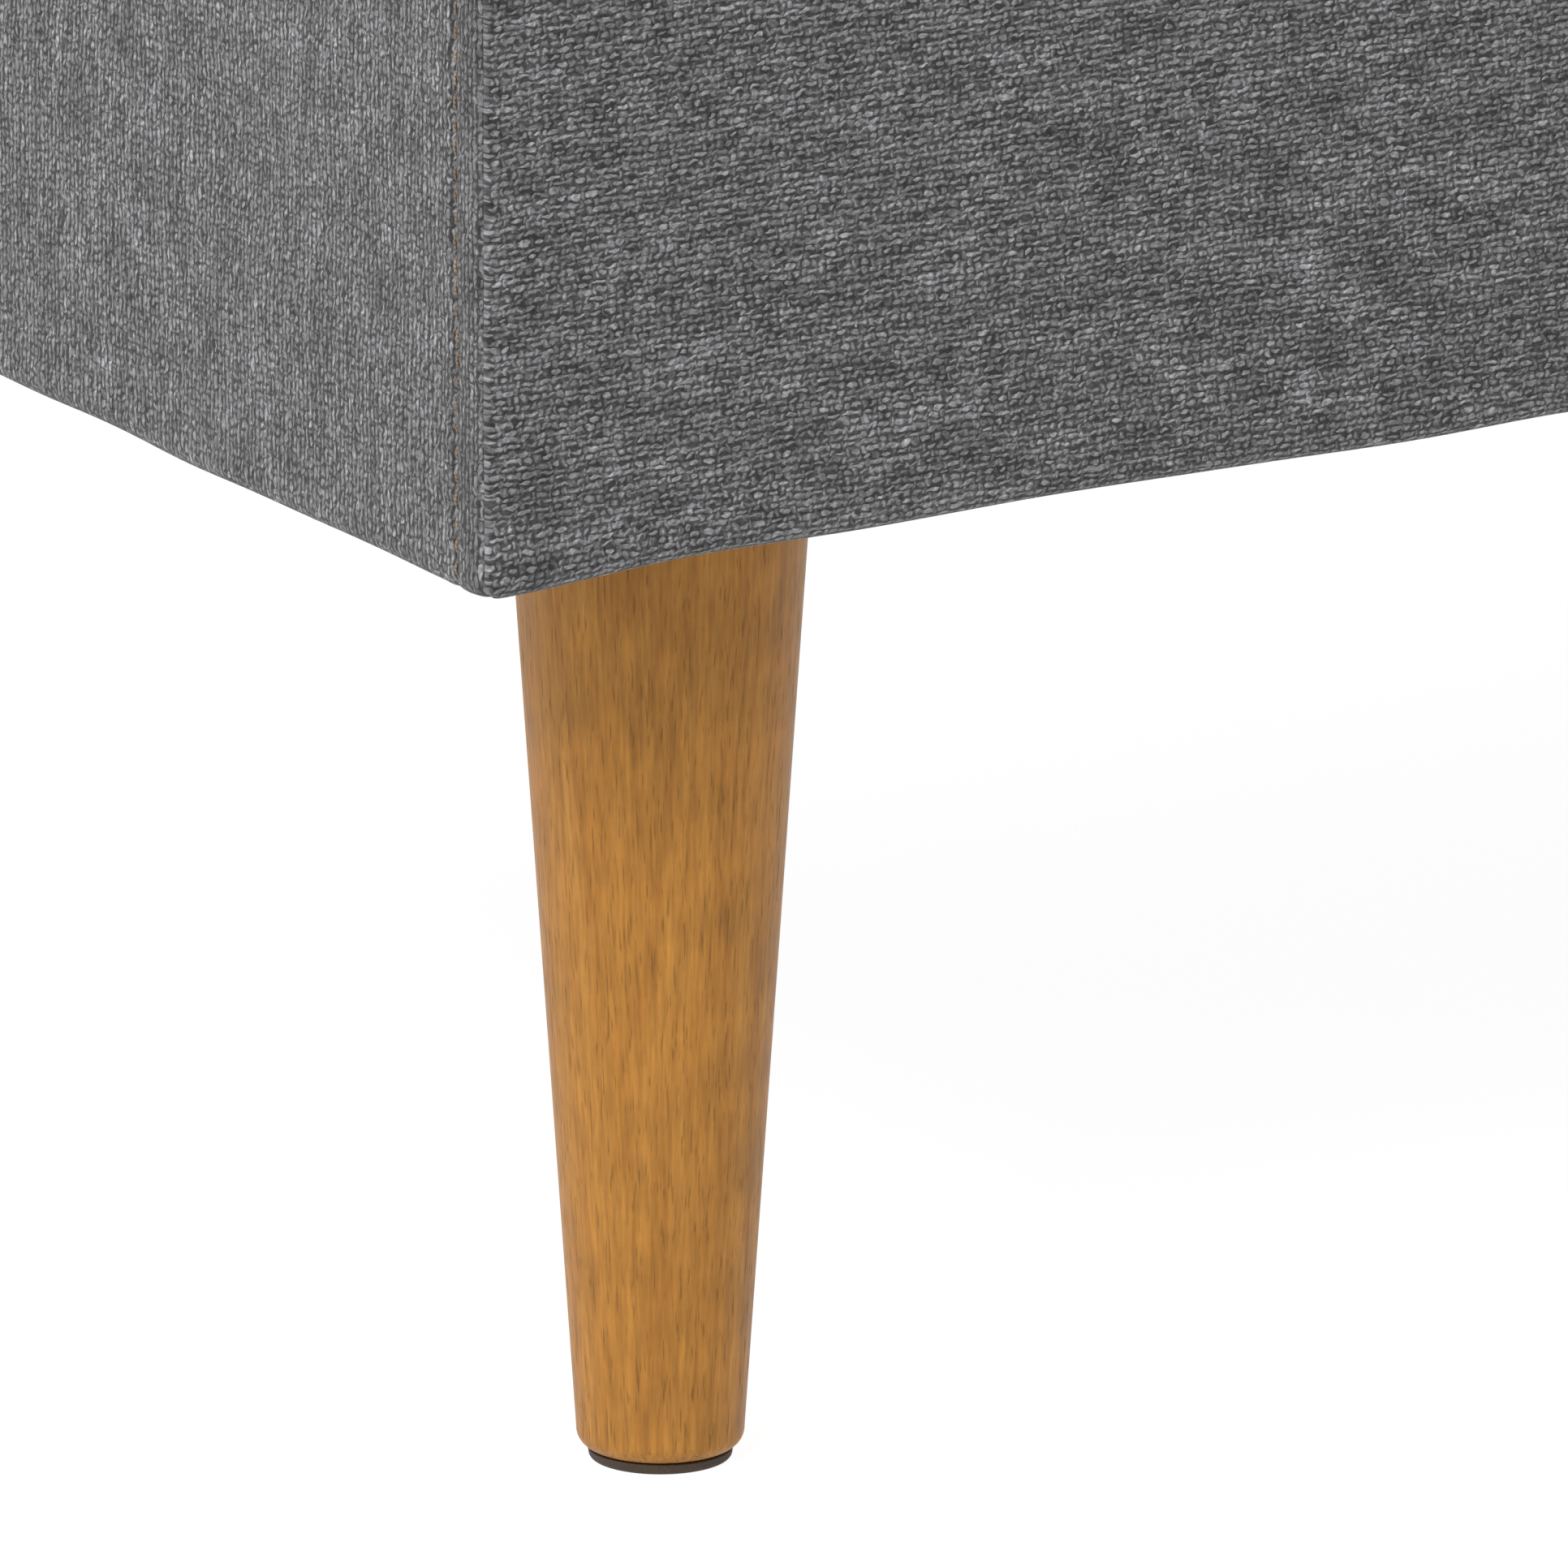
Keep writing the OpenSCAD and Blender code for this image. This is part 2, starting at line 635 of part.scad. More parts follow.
hinge_body_leaf(RIGHT);  // hinge_body_leaf_right
hinge_pins();
body_hardware_screws();
stay_body_bracket(LEFT);  // stay_body_bracket_left
stay_body_bracket(RIGHT);  // stay_body_bracket_right
lid_board();
lid_foam();
lid_cover_top();
lid_cover_long(FRONT);  // lid_cover_front
lid_cover_long(REAR);  // lid_cover_rear
lid_cover_end(LEFT);  // lid_cover_left
lid_cover_end(RIGHT);  // lid_cover_right
lid_lining();
lid_staples();
hinge_lid_leaf(LEFT);  // hinge_lid_leaf_left
hinge_lid_leaf(RIGHT);  // hinge_lid_leaf_right
lid_hardware_screws();
stay_lid_bracket(LEFT);  // stay_lid_bracket_left
stay_lid_bracket(RIGHT);  // stay_lid_bracket_right
stay_lower_arm(LEFT);  // stay_lower_arm_left
stay_lower_arm(RIGHT);  // stay_lower_arm_right
stay_elbow_rivet(LEFT);  // stay_elbow_rivet_left
stay_elbow_rivet(RIGHT);  // stay_elbow_rivet_right
stay_upper_arm(LEFT);  // stay_upper_arm_left
stay_upper_arm(RIGHT);  // stay_upper_arm_right
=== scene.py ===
import json
import math

import bpy
import numpy as np
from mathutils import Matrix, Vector


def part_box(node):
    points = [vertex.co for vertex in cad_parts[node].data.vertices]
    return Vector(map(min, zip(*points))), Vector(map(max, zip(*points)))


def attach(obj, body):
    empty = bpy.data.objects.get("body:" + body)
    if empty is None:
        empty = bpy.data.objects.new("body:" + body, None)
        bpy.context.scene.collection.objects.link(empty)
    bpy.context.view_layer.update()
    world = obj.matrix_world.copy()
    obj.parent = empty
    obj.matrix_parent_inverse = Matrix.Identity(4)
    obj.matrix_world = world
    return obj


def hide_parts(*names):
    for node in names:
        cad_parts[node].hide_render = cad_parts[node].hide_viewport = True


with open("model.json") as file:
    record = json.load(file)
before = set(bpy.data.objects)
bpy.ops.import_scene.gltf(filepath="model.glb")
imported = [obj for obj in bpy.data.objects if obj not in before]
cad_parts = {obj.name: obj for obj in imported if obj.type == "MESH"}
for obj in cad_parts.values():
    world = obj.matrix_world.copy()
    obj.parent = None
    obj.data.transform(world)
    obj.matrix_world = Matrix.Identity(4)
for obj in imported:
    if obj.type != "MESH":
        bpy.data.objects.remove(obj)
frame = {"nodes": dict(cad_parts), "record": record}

MM = 0.001
TURN = 2 * math.pi
scene = bpy.context.scene
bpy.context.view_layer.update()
SIDES = ("left", "right")

# ---- Places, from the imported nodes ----
front_lo, front_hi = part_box("body_cover_front")
BOX_HALF = front_hi.x
FRONT_Y, REAR_Y = front_lo.y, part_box("body_cover_rear")[1].y
BOX_Z0, BOX_Z1 = front_lo.z, front_hi.z
WALL = front_hi.y - front_lo.y

top_lo, top_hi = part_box("lid_cover_top")
LID_HALF = top_hi.x
LID_FRONT_Y, LID_REAR_Y = top_lo.y, top_hi.y
LID_MIDDLE_Y = (LID_FRONT_Y + LID_REAR_Y) / 2
LID_Z0, LID_Z1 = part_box("lid_cover_front")[0].z, top_hi.z
LID_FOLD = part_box("lid_lining")[0].x + LID_HALF  # the turn-under on the board

THICKNESS = {"upholstery_fabric": 1.2 * MM, "lining_cloth": 0.5 * MM}
STITCH_PITCH = 4.2 * MM
STITCH_INSET = 11 * MM  # from a seam to its topstitching


# ---- Material graphs ----
class Graph:
    """A material's nodes, built by short calls that take numbers and sockets and return a socket."""

    def __init__(self, name, **fixed):
        self.material = bpy.data.materials.new(name)
        self.material.use_nodes = True
        self.tree = self.material.node_tree
        self.shader = self.tree.nodes["Principled BSDF"]
        for socket, value in fixed.items():
            self.shader.inputs[socket.replace("_", " ")].default_value = value

    def put(self, socket, value):
        if isinstance(value, bpy.types.NodeSocket):
            self.tree.links.new(value, socket)
        else:
            socket.default_value = value

    def node(self, kind, inputs, out=0, **settings):
        node = self.tree.nodes.new("ShaderNode" + kind)
        for name, value in settings.items():
            setattr(node, name, value)
        for socket, value in inputs.items():
            self.put(node.inputs[socket], value)
        return node.outputs[out]

    def math(self, operation, *values):
        return self.node("Math", dict(enumerate(values)), operation=operation)

    def chain(self, operation, values):
        total = values[0]
        for value in values[1:]:
            total = self.math(operation, total, value)
        return total

    def add(self, *values):
        return self.chain("ADD", values)

    def times(self, *values):
        return self.chain("MULTIPLY", values)

    def less(self, a, b):
        return self.math("SUBTRACT", a, b)

    def square(self, value):
        return self.times(value, value)

    def oval(self, x, y):
        """A dome over the unit circle: 1 in its middle, 0 from its edge on."""
        inside = self.less(1, self.add(self.square(x), self.square(y)))
        return self.math("SQRT", self.math("MAXIMUM", inside, 0))

    def ranged(self, value, low, high, to_low=0, to_high=1):
        """value from low..high to to_low..to_high, clamped."""
        return self.node("MapRange", {0: value, 1: low, 2: high, 3: to_low, 4: to_high})

    def spread(self, noise, to_low, to_high, reach=0.2):
        """A noise's usual range, reach on either side of 0.5, taken to to_low..to_high."""
        return self.ranged(noise, 0.5 - reach, 0.5 + reach, to_low, to_high)

    def split(self, vector):
        node = self.tree.nodes.new("ShaderNodeSeparateXYZ")
        self.put(node.inputs[0], vector)
        return node.outputs

    def attribute(self, name):
        """The X, Y and Z of a named vector attribute."""
        return self.split(self.node("Attribute", {}, out="Vector", attribute_name=name))

    def place(self):
        return self.node("TexCoord", {}, out="Object")

    def vector(self, x=0, y=0, z=0):
        return self.node("CombineXYZ", {0: x, 1: y, 2: z})

    def noise(self, vector, detail=2, roughness=0.5, distortion=0):
        """Noise of one unit's size, from 0 to 1."""
        inputs = {"Vector": vector, "Scale": 1.0, "Detail": detail}
        inputs |= {"Roughness": roughness, "Distortion": distortion}
        return self.node("TexNoise", inputs)

    def sized_noise(self, u, v, u_mm, v_mm, third=0, detail=2, roughness=0.5, distortion=0):
        """Noise whose spots are u_mm by v_mm on the cloth."""
        place = self.vector(self.times(u, 1 / (u_mm * MM)), self.times(v, 1 / (v_mm * MM)), third)
        return self.noise(place, detail, roughness, distortion)

    def object_noise(self, scale, detail=2, roughness=0.5, distortion=0):
        """Noise in object space, with so many spots a metre along x, y and z."""
        place = self.node("Mapping", {"Vector": self.place(), "Scale": scale})
        return self.noise(place, detail, roughness, distortion)

    def random(self, x, y=0, z=0):
        return self.node("TexWhiteNoise", {"Vector": self.vector(x, y, z)}, noise_dimensions="3D")

    def random_in(self, low, high, *place):
        return self.ranged(self.random(*place), 0, 1, low, high)

    def colours(self, value, *stops):
        """A colour ramp of (position, linear colour)."""
        node = self.tree.nodes.new("ShaderNodeValToRGB")
        while len(node.color_ramp.elements) < len(stops):
            node.color_ramp.elements.new(0.5)
        for element, (position, colour) in zip(node.color_ramp.elements, stops):
            element.position = position
            element.color = (*colour, 1)
        self.put(node.inputs[0], value)
        return node.outputs[0]

    def tinted(self, colour, tint):
        return self.node("VectorMath", {0: colour, 1: tint}, operation="MULTIPLY")

    def shade(self, colour, factor):
        """colour made lighter or darker by a factor."""
        return self.tinted(colour, self.vector(factor, factor, factor))

    def mix(self, a, b, factor):
        node = self.tree.nodes.new("ShaderNodeMix")
        node.data_type = "RGBA"
        self.put(node.inputs["Factor"], factor)
        for name, value in (("A", a), ("B", b)):
            socket = next(s for s in node.inputs if s.name == name and s.type == "RGBA")
            self.put(socket, (*value, 1) if isinstance(value, tuple) else value)
        return next(s for s in node.outputs if s.type == "RGBA")

    def finish(self, colour, roughness, height, bump_depth):
        """The finished material, with bumps as deep as bump_depth where height goes from 0 to 1."""
        normal = self.node("Bump", {"Height": height, "Distance": bump_depth, "Strength": 1})
        for name, value in (("Base Color", colour), ("Roughness", roughness), ("Normal", normal)):
            self.put(self.shader.inputs[name], value)
        return self.material


WEFT_PITCH = 1.33 * MM
WARP_PITCH = 1.65 * MM
FLOAT_SHADES = ((0, 0.14), (0.25, 0.18), (0.7, 0.215), (0.93, 0.245), (1, 0.27))
WARP_SHADES = (0.09, 0.23)
YARN_TINT = (0.842, 0.842, 0.868)


def upholstery():
    """Grey melange plain weave: light floats of the weft over a darker warp, slubs and clouding."""
    g = Graph("upholstery", Sheen_Weight=0.12, Sheen_Roughness=0.5, Specular_IOR_Level=0.25)
    u, v, strip_shade = g.attribute("cloth")

    def noise(u_mm, v_mm, *rest):
        return g.sized_noise(u, v, u_mm, v_mm, *rest)

    # The yarns wander slowly, over a few pitches and from float to float
    slow = g.less(noise(30, 18), 0.5)
    near = g.less(noise(9, 6, 4), 0.5)
    jitter = g.less(noise(2.6, 2.1, 6), 0.5)
    v_moved = g.add(v, g.times(slow, 1.6 * MM), g.times(near, 0.6 * MM), g.times(jitter, 1.5 * MM))
    y = g.times(v_moved, 1 / WEFT_PITCH)
    row = g.math("FLOOR", y)
    row_shift = g.times(g.random(row, 7), 1.1 * MM)
    u_moved = g.add(u, g.times(near, 1.4 * MM), g.times(jitter, -2.4 * MM), row_shift)
    x = g.times(u_moved, 1 / WARP_PITCH)
    # Every second warp yarn is crossed, and the next row crosses the others
    crossing = g.times(g.add(x, g.math("FLOORED_MODULO", row, 2)), 0.5)
    column = g.math("FLOOR", crossing)
    fx = g.less(g.less(crossing, column), g.random_in(0.4, 0.6, column, row, 8))
    fy = g.less(g.less(y, row), g.random_in(0.36, 0.64, column, row, 9))

    # The weft float: an oval leaning with the yarn's twist, of random length and width
    lean = g.add(fy, g.times(fx, g.random_in(-0.6, 0, column, row, 2)))
    length = g.random_in(0.24, 0.46, column, row, 3)
    width = g.random_in(0.25, 0.40, row, column, 5)
    weft = g.oval(g.math("DIVIDE", fx, length), g.math("DIVIDE", lean, width))
    # The warp float between two weft floats
    aside = g.less(0.5, g.math("ABSOLUTE", fx))
    warp = g.times(g.oval(g.times(aside, 1 / 0.17), g.times(fy, 1 / 0.6)), 0.75)
    floats = g.math("MAXIMUM", weft, warp)
    # The two plies of the weft yarn lie as short leaning dashes
    turns = g.add(g.times(fx, 2.1), g.times(fy, -0.85), g.random(column, row, 10))
    plies = g.math("SINE", g.times(turns, TURN))
    # Fibres along each yarn, and loose hairs over both
    twisted = g.add(v, g.times(u, -0.22))
    along = g.sized_noise(u, twisted, 1.1, 0.3, row, 2, 0.6)
    hairs = noise(0.85, 0.75, 9, 2, 0.55)
    height = g.add(floats, g.times(plies, 0.12), g.times(along, 0.35), g.times(hairs, 0.3))

    # Tones: each float, each yarn, streaks along weft and warp, clouds, and painted shade of the
    # relief
    shades = ((at, (grey,) * 3) for at, grey in FLOAT_SHADES)
    float_shade = g.colours(g.random(column, row, 1), *shades)
    warp_shade = g.random_in(*WARP_SHADES, column, row, 6)
    on_top = g.math("GREATER_THAN", weft, warp)
    yarn = g.mix(g.vector(warp_shade, warp_shade, warp_shade), float_shade, on_top)
    fibres = g.add(g.times(along, 0.35), g.times(hairs, 0.65))
    slub = noise(26, 2.6, 2, 3, 0.6)
    band = noise(3.2, 60, 5, 2, 0.5)
    cloud = noise(14, 9, 8, 3, 0.6)
    # Painted shade: darker in the gaps between the floats and in the plies' grooves, lighter on the
    # plies' crests
    tone = g.times(g.spread(slub, 0.82, 1.18), g.spread(band, 0.88, 1.12), g.spread(cloud, 0.76, 1.24),
                   g.ranged(floats, 0, 0.7, 0.27, 1), g.spread(fibres, 0.28, 1.72),
                   # The sewn strip darker, to 0.8 of its tone: painted shade
                   g.ranged(plies, -1, 1, 0.78, 1.22), g.ranged(strip_shade, 0, 1, 1, 0.8))
    return g.finish(g.tinted(g.shade(yarn, tone), YARN_TINT), g.spread(hairs, 0.82, 0.98, 0.3),
                    height, 0.22 * MM)


WOOD_STAIN = ((0.26, (0.200, 0.076, 0.012)), (0.44, (0.306, 0.130, 0.021)),
              (0.58, (0.348, 0.155, 0.027)), (0.78, (0.400, 0.192, 0.040)))
HEART_X, HEART_Y = -0.055, -0.018  # the tree's heart, seen from the leg's axis


def leg_wood():
    """Honey-stained rubberwood: fine dark pores along the grain, soft bands and a mottled figure."""
    g = Graph("leg_wood", Specular_IOR_Level=0.2, Coat_Weight=0.02, Coat_Roughness=0.35)
    x, y, z = g.attribute("grain")

    def figure(across, along, detail, roughness):
        """Noise with so many spots a metre across and along the grain."""
        place = g.vector(g.times(x, across), g.times(y, across), g.times(z, along))
        return g.noise(place, detail, roughness)

    reach = g.math("SQRT", g.add(g.square(g.add(x, -HEART_X)), g.square(g.add(y, -HEART_Y))))
    rings = g.add(g.times(reach, 420), g.times(figure(20, 9, 2, 0.5), 3.2))
    wide = g.noise(g.vector(rings, g.times(z, 3), 3), 3, 0.55)
    fine = figure(1300, 17, 3, 0.6)
    streak = figure(420, 7, 3, 0.6)
    mottle = figure(60, 75, 4, 0.65)
    base = g.colours(g.add(g.times(wide, 0.55), g.times(streak, 0.45)), *WOOD_STAIN)
    # Pores: short dark dashes, denser in some rings
    dash = g.add(figure(2600, 80, 1, 0.4), g.times(g.less(wide, 0.5), -0.12))
    pore = g.ranged(dash, 0.62, 0.72)
    tone = g.times(g.spread(fine, 0.78, 1.18), g.spread(mottle, 0.9, 1.1, 0.15),
                   g.ranged(pore, 0, 1, 1, 0.7))
    height = g.add(g.times(fine, 0.3), g.times(pore, -1))
    rough = g.add(g.spread(streak, 0.4, 0.5), g.times(pore, 0.2))
    return g.finish(g.shade(base, tone), rough, height, 0.05 * MM)


PLY = 1.5 * MM  # one layer of plywood


def sheet_wood(name, light, dark, ply=False):
    """Plain unfinished wood, with the plies' edges as bands in Z for plywood."""
    g = Graph(name, Specular_IOR_Level=0.3)
    grain = g.object_noise((9, 160, 160), 4, 0.6, 0.4)
    pores = g.object_noise((90, 1800, 1800))
    colour = g.colours(grain, (0.3, dark), (0.7, light))
    tone = g.spread(pores, 0.85, 1.1)
    if ply:
        layer = g.math("PINGPONG", g.split(g.place())[2], PLY)
        tone = g.times(tone, g.ranged(layer, 0.2 * PLY, 0.8 * PLY, 0.82, 1.05))
    return g.finish(g.shade(colour, tone), g.spread(grain, 0.65, 0.85, 0.3), pores, 0.08 * MM)


def metal(name, colour, roughness, spangle):
    """Plated steel: a fine brushed grain under faint patches of a different sheen."""
    g = Graph(name, Metallic=1)
    brushed = g.object_noise((900, 160, 4000), 3, 0.6)
    patches = g.object_noise((120,) * 3, 3, 0.6)
    tone = g.times(g.spread(brushed, 0.92, 1.08), g.spread(patches, 1 - spangle, 1 + spangle))
    rough = g.add(g.spread(patches, roughness - 0.06, roughness + 0.1), g.times(brushed, 0.06))
    return g.finish(g.shade(g.vector(*colour), tone), rough, brushed, 0.02 * MM)


DOT_PITCH = 1.6 * MM


def lining():
    """Black spun-bonded lining: matted fibres with rows of small bonded dots."""
    g = Graph("lining_cloth", Sheen_Weight=0.1, Specular_IOR_Level=0.3)
    u, v = g.attribute("cloth")[:2]
    y = g.times(v, 1 / DOT_PITCH)
    half_step = g.times(g.math("FLOORED_MODULO", g.math("FLOOR", y), 2), 0.5)
    fx = g.less(g.math("FRACT", g.add(g.times(u, 1 / DOT_PITCH), half_step)), 0.5)
    fy = g.less(g.math("FRACT", y), 0.5)
    dot = g.ranged(g.math("SQRT", g.add(g.square(fx), g.square(fy))), 0.22, 0.36)
    fibres = g.sized_noise(u, v, 0.5, 0.9, 0, 4, 0.7, 1.5)
    blotch = g.sized_noise(u, v, 12, 12, 3, 3, 0.6)
    tone = g.times(g.spread(fibres, 0.55, 1.6), g.spread(blotch, 0.85, 1.2),
                   g.ranged(dot, 0, 1, 0.75, 1))
    return g.finish(g.shade(g.vector(0.022, 0.022, 0.024), tone), g.ranged(dot, 0, 1, 0.55, 0.9),
                    g.add(dot, g.times(fibres, 0.8)), 0.15 * MM)


def soft_filling(name, light, dark, size):
    """Foam or wadding: cells or fibres of one size, with soft yellowed patches."""
    g = Graph(name, Specular_IOR_Level=0.2)
    cells = g.node("TexVoronoi", {"Vector": g.place(), "Scale": 1 / size})
    patches = g.object_noise((25,) * 3, 3)
    colour = g.mix(dark, light, g.spread(patches, 0, 1))
    # Painted shade: darker in the hollows, the foam's cells and the wadding's gaps between fibres
    tone = g.ranged(cells, 0, 0.8, 0.8, 1.05)
    return g.finish(g.shade(colour, tone), g.ranged(cells, 0, 1, 0.85, 1), cells, size / 3)


def rubber():
    """Dark brown rubber or felt pads, matt and slightly grained."""
    g = Graph("rubber", Specular_IOR_Level=0.35)
    grain = g.object_noise((1800,) * 3, 3, 0.6)
    scuff = g.object_noise((160,) * 3, 3, 0.6)
    tone = g.times(g.spread(grain, 0.75, 1.25), g.ranged(scuff, 0.35, 0.7, 0.85, 1.3))
    return g.finish(g.shade(g.vector(0.045, 0.029, 0.018), tone), g.spread(scuff, 0.62, 0.85),
                    grain, 0.06 * MM)


TWIST_PITCH = 0.75 * MM
THREAD_HUES = ((0, (0.13, 0.09, 0.062)), (0.5, (0.22, 0.15, 0.098)), (1, (0.34, 0.24, 0.16)))


def thread():
    """Tan sewing thread: two plies twisted together, with a little fuzz."""
    g = Graph("thread", Sheen_Weight=0.15, Specular_IOR_Level=0.3)
    along, round_it, which = g.attribute("cloth")
    twist = g.math("SINE", g.add(g.times(along, TURN / TWIST_PITCH), round_it))
    fuzz = g.noise(g.vector(g.times(along, 1 / (0.3 * MM)), round_it, which), 2)
    # Painted shade: the thread darker in its twist's grooves and lighter on its crests; the fuzz
    # varies its tone at random
    tone = g.times(g.ranged(twist, -1, 1, 0.6, 1.15), g.spread(fuzz, 0.8, 1.2))
    hue = g.colours(g.random(which, 3), *THREAD_HUES)
    return g.finish(g.shade(hue, tone), g.spread(fuzz, 0.6, 0.85, 0.3), twist, 0.08 * MM)


MATERIALS = {
    "upholstery_fabric": upholstery(),
    "lining_cloth": lining(),
    "leg_wood": leg_wood(),
    "plywood": sheet_wood("plywood", (0.60, 0.43, 0.24), (0.42, 0.27, 0.13), ply=True),
    "pine": sheet_wood("pine", (0.66, 0.46, 0.24), (0.50, 0.31, 0.14)),
    "foam": soft_filling("foam", (0.82, 0.76, 0.55), (0.74, 0.66, 0.42), 1.1 * MM),
    "wadding": soft_filling("wadding", (0.84, 0.84, 0.82), (0.72, 0.72, 0.70), 0.7 * MM),
    "rubber": rubber(),
    "stay_steel": metal("stay_steel", (0.55, 0.56, 0.58), 0.34, 0.08),
    "zinc_steel": metal("zinc_steel", (0.62, 0.63, 0.65), 0.3, 0.16),
}
THREAD = thread()


def finish_cad_nodes():
    """Gives every CAD node the material of its slot in the record."""
    for part in frame["record"]["subparts"]:
        node = frame["nodes"][part["node"]]
        for slot in node.material_slots:
            slot.material = MATERIALS[part["material_slot"]]


# ---- Meshes ----
def add_object(name, data):
    thing = bpy.data.objects.new(name, data)
    scene.collection.objects.link(thing)
    return thing


def indices(rows, columns, start=0):
    return start + np.arange(rows * columns).reshape(rows, columns)


def quads(index, closed=False):
    """Quads over a grid of point indices whose rows go down and columns right, seen from outside.
    A closed grid's last column joins its first."""
    right = np.roll(index, -1, axis=1)
    faces = np.stack([index[:-1], index[1:], right[1:], right[:-1]], -1)
    return (faces if closed else faces[:, :-1]).reshape(-1, 4)


def tube(index):
    """Quads round a grid of point indices that closes on itself, with a cap on both ends."""
    return [*quads(index, closed=True).tolist(), index[0].tolist(), index[-1, ::-1].tolist()]


def add_piece(name, points, faces, slot, body, field=None, values=None, replaces=(), material=None):
    """A smooth mesh piece in the row frame, riding on a body."""
    mesh = bpy.data.meshes.new(name)
    mesh.from_pydata(np.asarray(points, float).reshape(-1, 3).tolist(), [], list(faces))
    if field:
        layer = mesh.attributes.new(field, "FLOAT_VECTOR", "POINT")
        layer.data.foreach_set("vector", np.asarray(values, np.float32).ravel())
    mesh.shade_smooth()
    mesh.materials.append(material or MATERIALS[slot])
    piece = add_object(name, mesh)
    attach(piece, body)
    if replaces:
        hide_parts(*replaces)
    return piece


def add_cloth(name, points, cloth, slot, body, flat, replaces=(), faces=None):
    """A stretched sheet of cloth, thickened inwards: a grid of points, or points and their faces.
    flat, its size before it is fitted, is not used."""
    if faces is None:
        faces = quads(indices(*points.shape[:2]))
    piece = add_piece(name, points, faces, slot, body, "cloth", cloth, replaces)
    solid = piece.modifiers.new("thickness", "SOLIDIFY")
    solid.thickness = THICKNESS[slot]
    solid.offset = -1


def unit(vectors):
    return vectors / np.maximum(np.linalg.norm(vectors, axis=-1, keepdims=True), 1e-12)


def grid_normals(grid):
    return unit(np.cross(np.gradient(grid, axis=0), np.gradient(grid, axis=1)))


def wave(x, *terms):
    """A sum of sines of (size, wavelength, phase)."""
    return sum(size * np.sin(TURN * np.asarray(x) / length + phase) for size, length, phase in terms)


def bell(x, centre, spread):
    return np.exp(-((np.asarray(x) - centre) / spread) ** 2)


# ---- Walls of cloth: a path in (inset, height) carried along one side of a rectangle ----
DIRECTIONS = {  # side: (right as seen from outside, outwards)
    "front": ((1, 0), (0, -1)),
    "rear": ((-1, 0), (0, 1)),
    "left": ((0, -1), (-1, 0)),
    "right": ((0, 1), (1, 0)),
}
ROUND = ("front", "right", "rear", "left")  # anticlockwise from above


def side_places(half, front_y, rear_y):
    """{side: (middle in plan, half length)} of a rectangle's sides."""
    middle_y, half_y = (front_y + rear_y) / 2, (rear_y - front_y) / 2
    return {"front": ((0, front_y), half), "rear": ((0, rear_y), half),
            "left": ((-half, middle_y), half_y), "right": ((half, middle_y), half_y)}


BODY_PLACES = side_places(BOX_HALF, FRONT_Y, REAR_Y)
LID_PLACES = side_places(LID_HALF, LID_FRONT_Y, LID_REAR_Y)


def off_side(side, places, u, inset, z):
    """Points at u along a side from its middle, inset from it, at height z."""
    (middle, _), (right, out) = places[side], DIRECTIONS[side]
    x = middle[0] + right[0] * u - out[0] * inset
    y = middle[1] + right[1] * u - out[1] * inset
    return np.stack(np.broadcast_arrays(x, y, z), -1)


def edge_path(z_low, depth, radius, arc_points, flat_points):
    """Points (inset, z) from the foot of the face round the lower edge to depth inside below."""
    turn = np.linspace(0, math.pi / 2, arc_points)
    arc = np.stack([radius * (1 - np.cos(turn)), z_low + radius * (1 - np.sin(turn))], 1)
    flat = np.linspace(radius, depth, flat_points)[1:]
    return np.concatenate([arc, np.stack([flat, np.full(len(flat), z_low)], 1)])


def rounded_path(z_high, z_low, depth, radius, step):
    """Points (inset, z) from depth inside at the top, down over both edges, to depth inside below."""
    under = edge_path(z_low, depth, radius, 7, 6)
    over = (under * (1, -1) + (0, z_high + z_low))[::-1]
    count = max(2, round((z_high - z_low - 2 * radius) / step))
    face_z = np.linspace(z_high - radius, z_low + radius, count + 1)[1:-1]
    return np.concatenate([over, np.stack([0 * face_z, face_z], 1), under])


def path_lengths(path):
    return np.concatenate([[0], np.cumsum(np.linalg.norm(np.diff(path, axis=0), axis=1))])


def path_normals(path):
    """Outward normals (towards smaller inset) of a path that runs from the top down."""
    along = unit(np.gradient(path, axis=0))
    return np.stack([along[:, 1], -along[:, 0]], 1)


UNDERSIDE_SINK = 0.35  # what is left of a point's sinking where the cloth faces down
EDGE_REACH = 14 * MM  # how far up a wall its bottom edge's waviness is felt


def wall_grid(side, places, path, columns, depth, lower=0.0):
    """Points of a cloth wall, with their places along it. columns are places from the side's middle,
    depth(d, s) how far each point is sunk, by its distance from the side's end and along the path.
    lower moves the bottom edge at each column."""
    half = places[side][1]
    inset, height = path[:, :1], path[:, 1:]
    lengths, normals = path_lengths(path)[:, None], path_normals(path)
    u = columns * (1 - inset / half)
    sunk = depth(half - np.abs(columns), lengths)
    down = normals[:, 1:]
    z = height - down * sunk * np.where(down < 0, UNDERSIDE_SINK, 1)
    above = np.clip((height - height.min()) / EDGE_REACH, 0, 1)
    z = z + lower * (1 - above) ** 2 * (1 + 2 * above)
    grid = off_side(side, places, u, inset - normals[:, :1] * sunk, z)
    return grid, u, np.broadcast_to(-lengths, u.shape)


# Profiles across a seam, in mm: (distance from the corner, sunk). The edge of a long panel turns
# round the corner, and the end panel's edge is sewn to it there.
LONG_EDGE = ((0, 3), (0, 1), (0.12, 0.5), (0.45, 0.14), (1, 0))
END_EDGE = ((0.85, 3), (0.85, 1.2), (1, 0.6), (1.45, 0.05), (1.95, -0.12))
SEAM_ROLL = ((0, 3), (0, 1.3), (0.2, 0.65), (0.7, 0.2), (1.5, 0))
STRIP_FROM = END_EDGE[0][0]
STRIP_RISE = 0.7
STITCH_SINK = 0.55
SHOULDER_RISE = 0.22
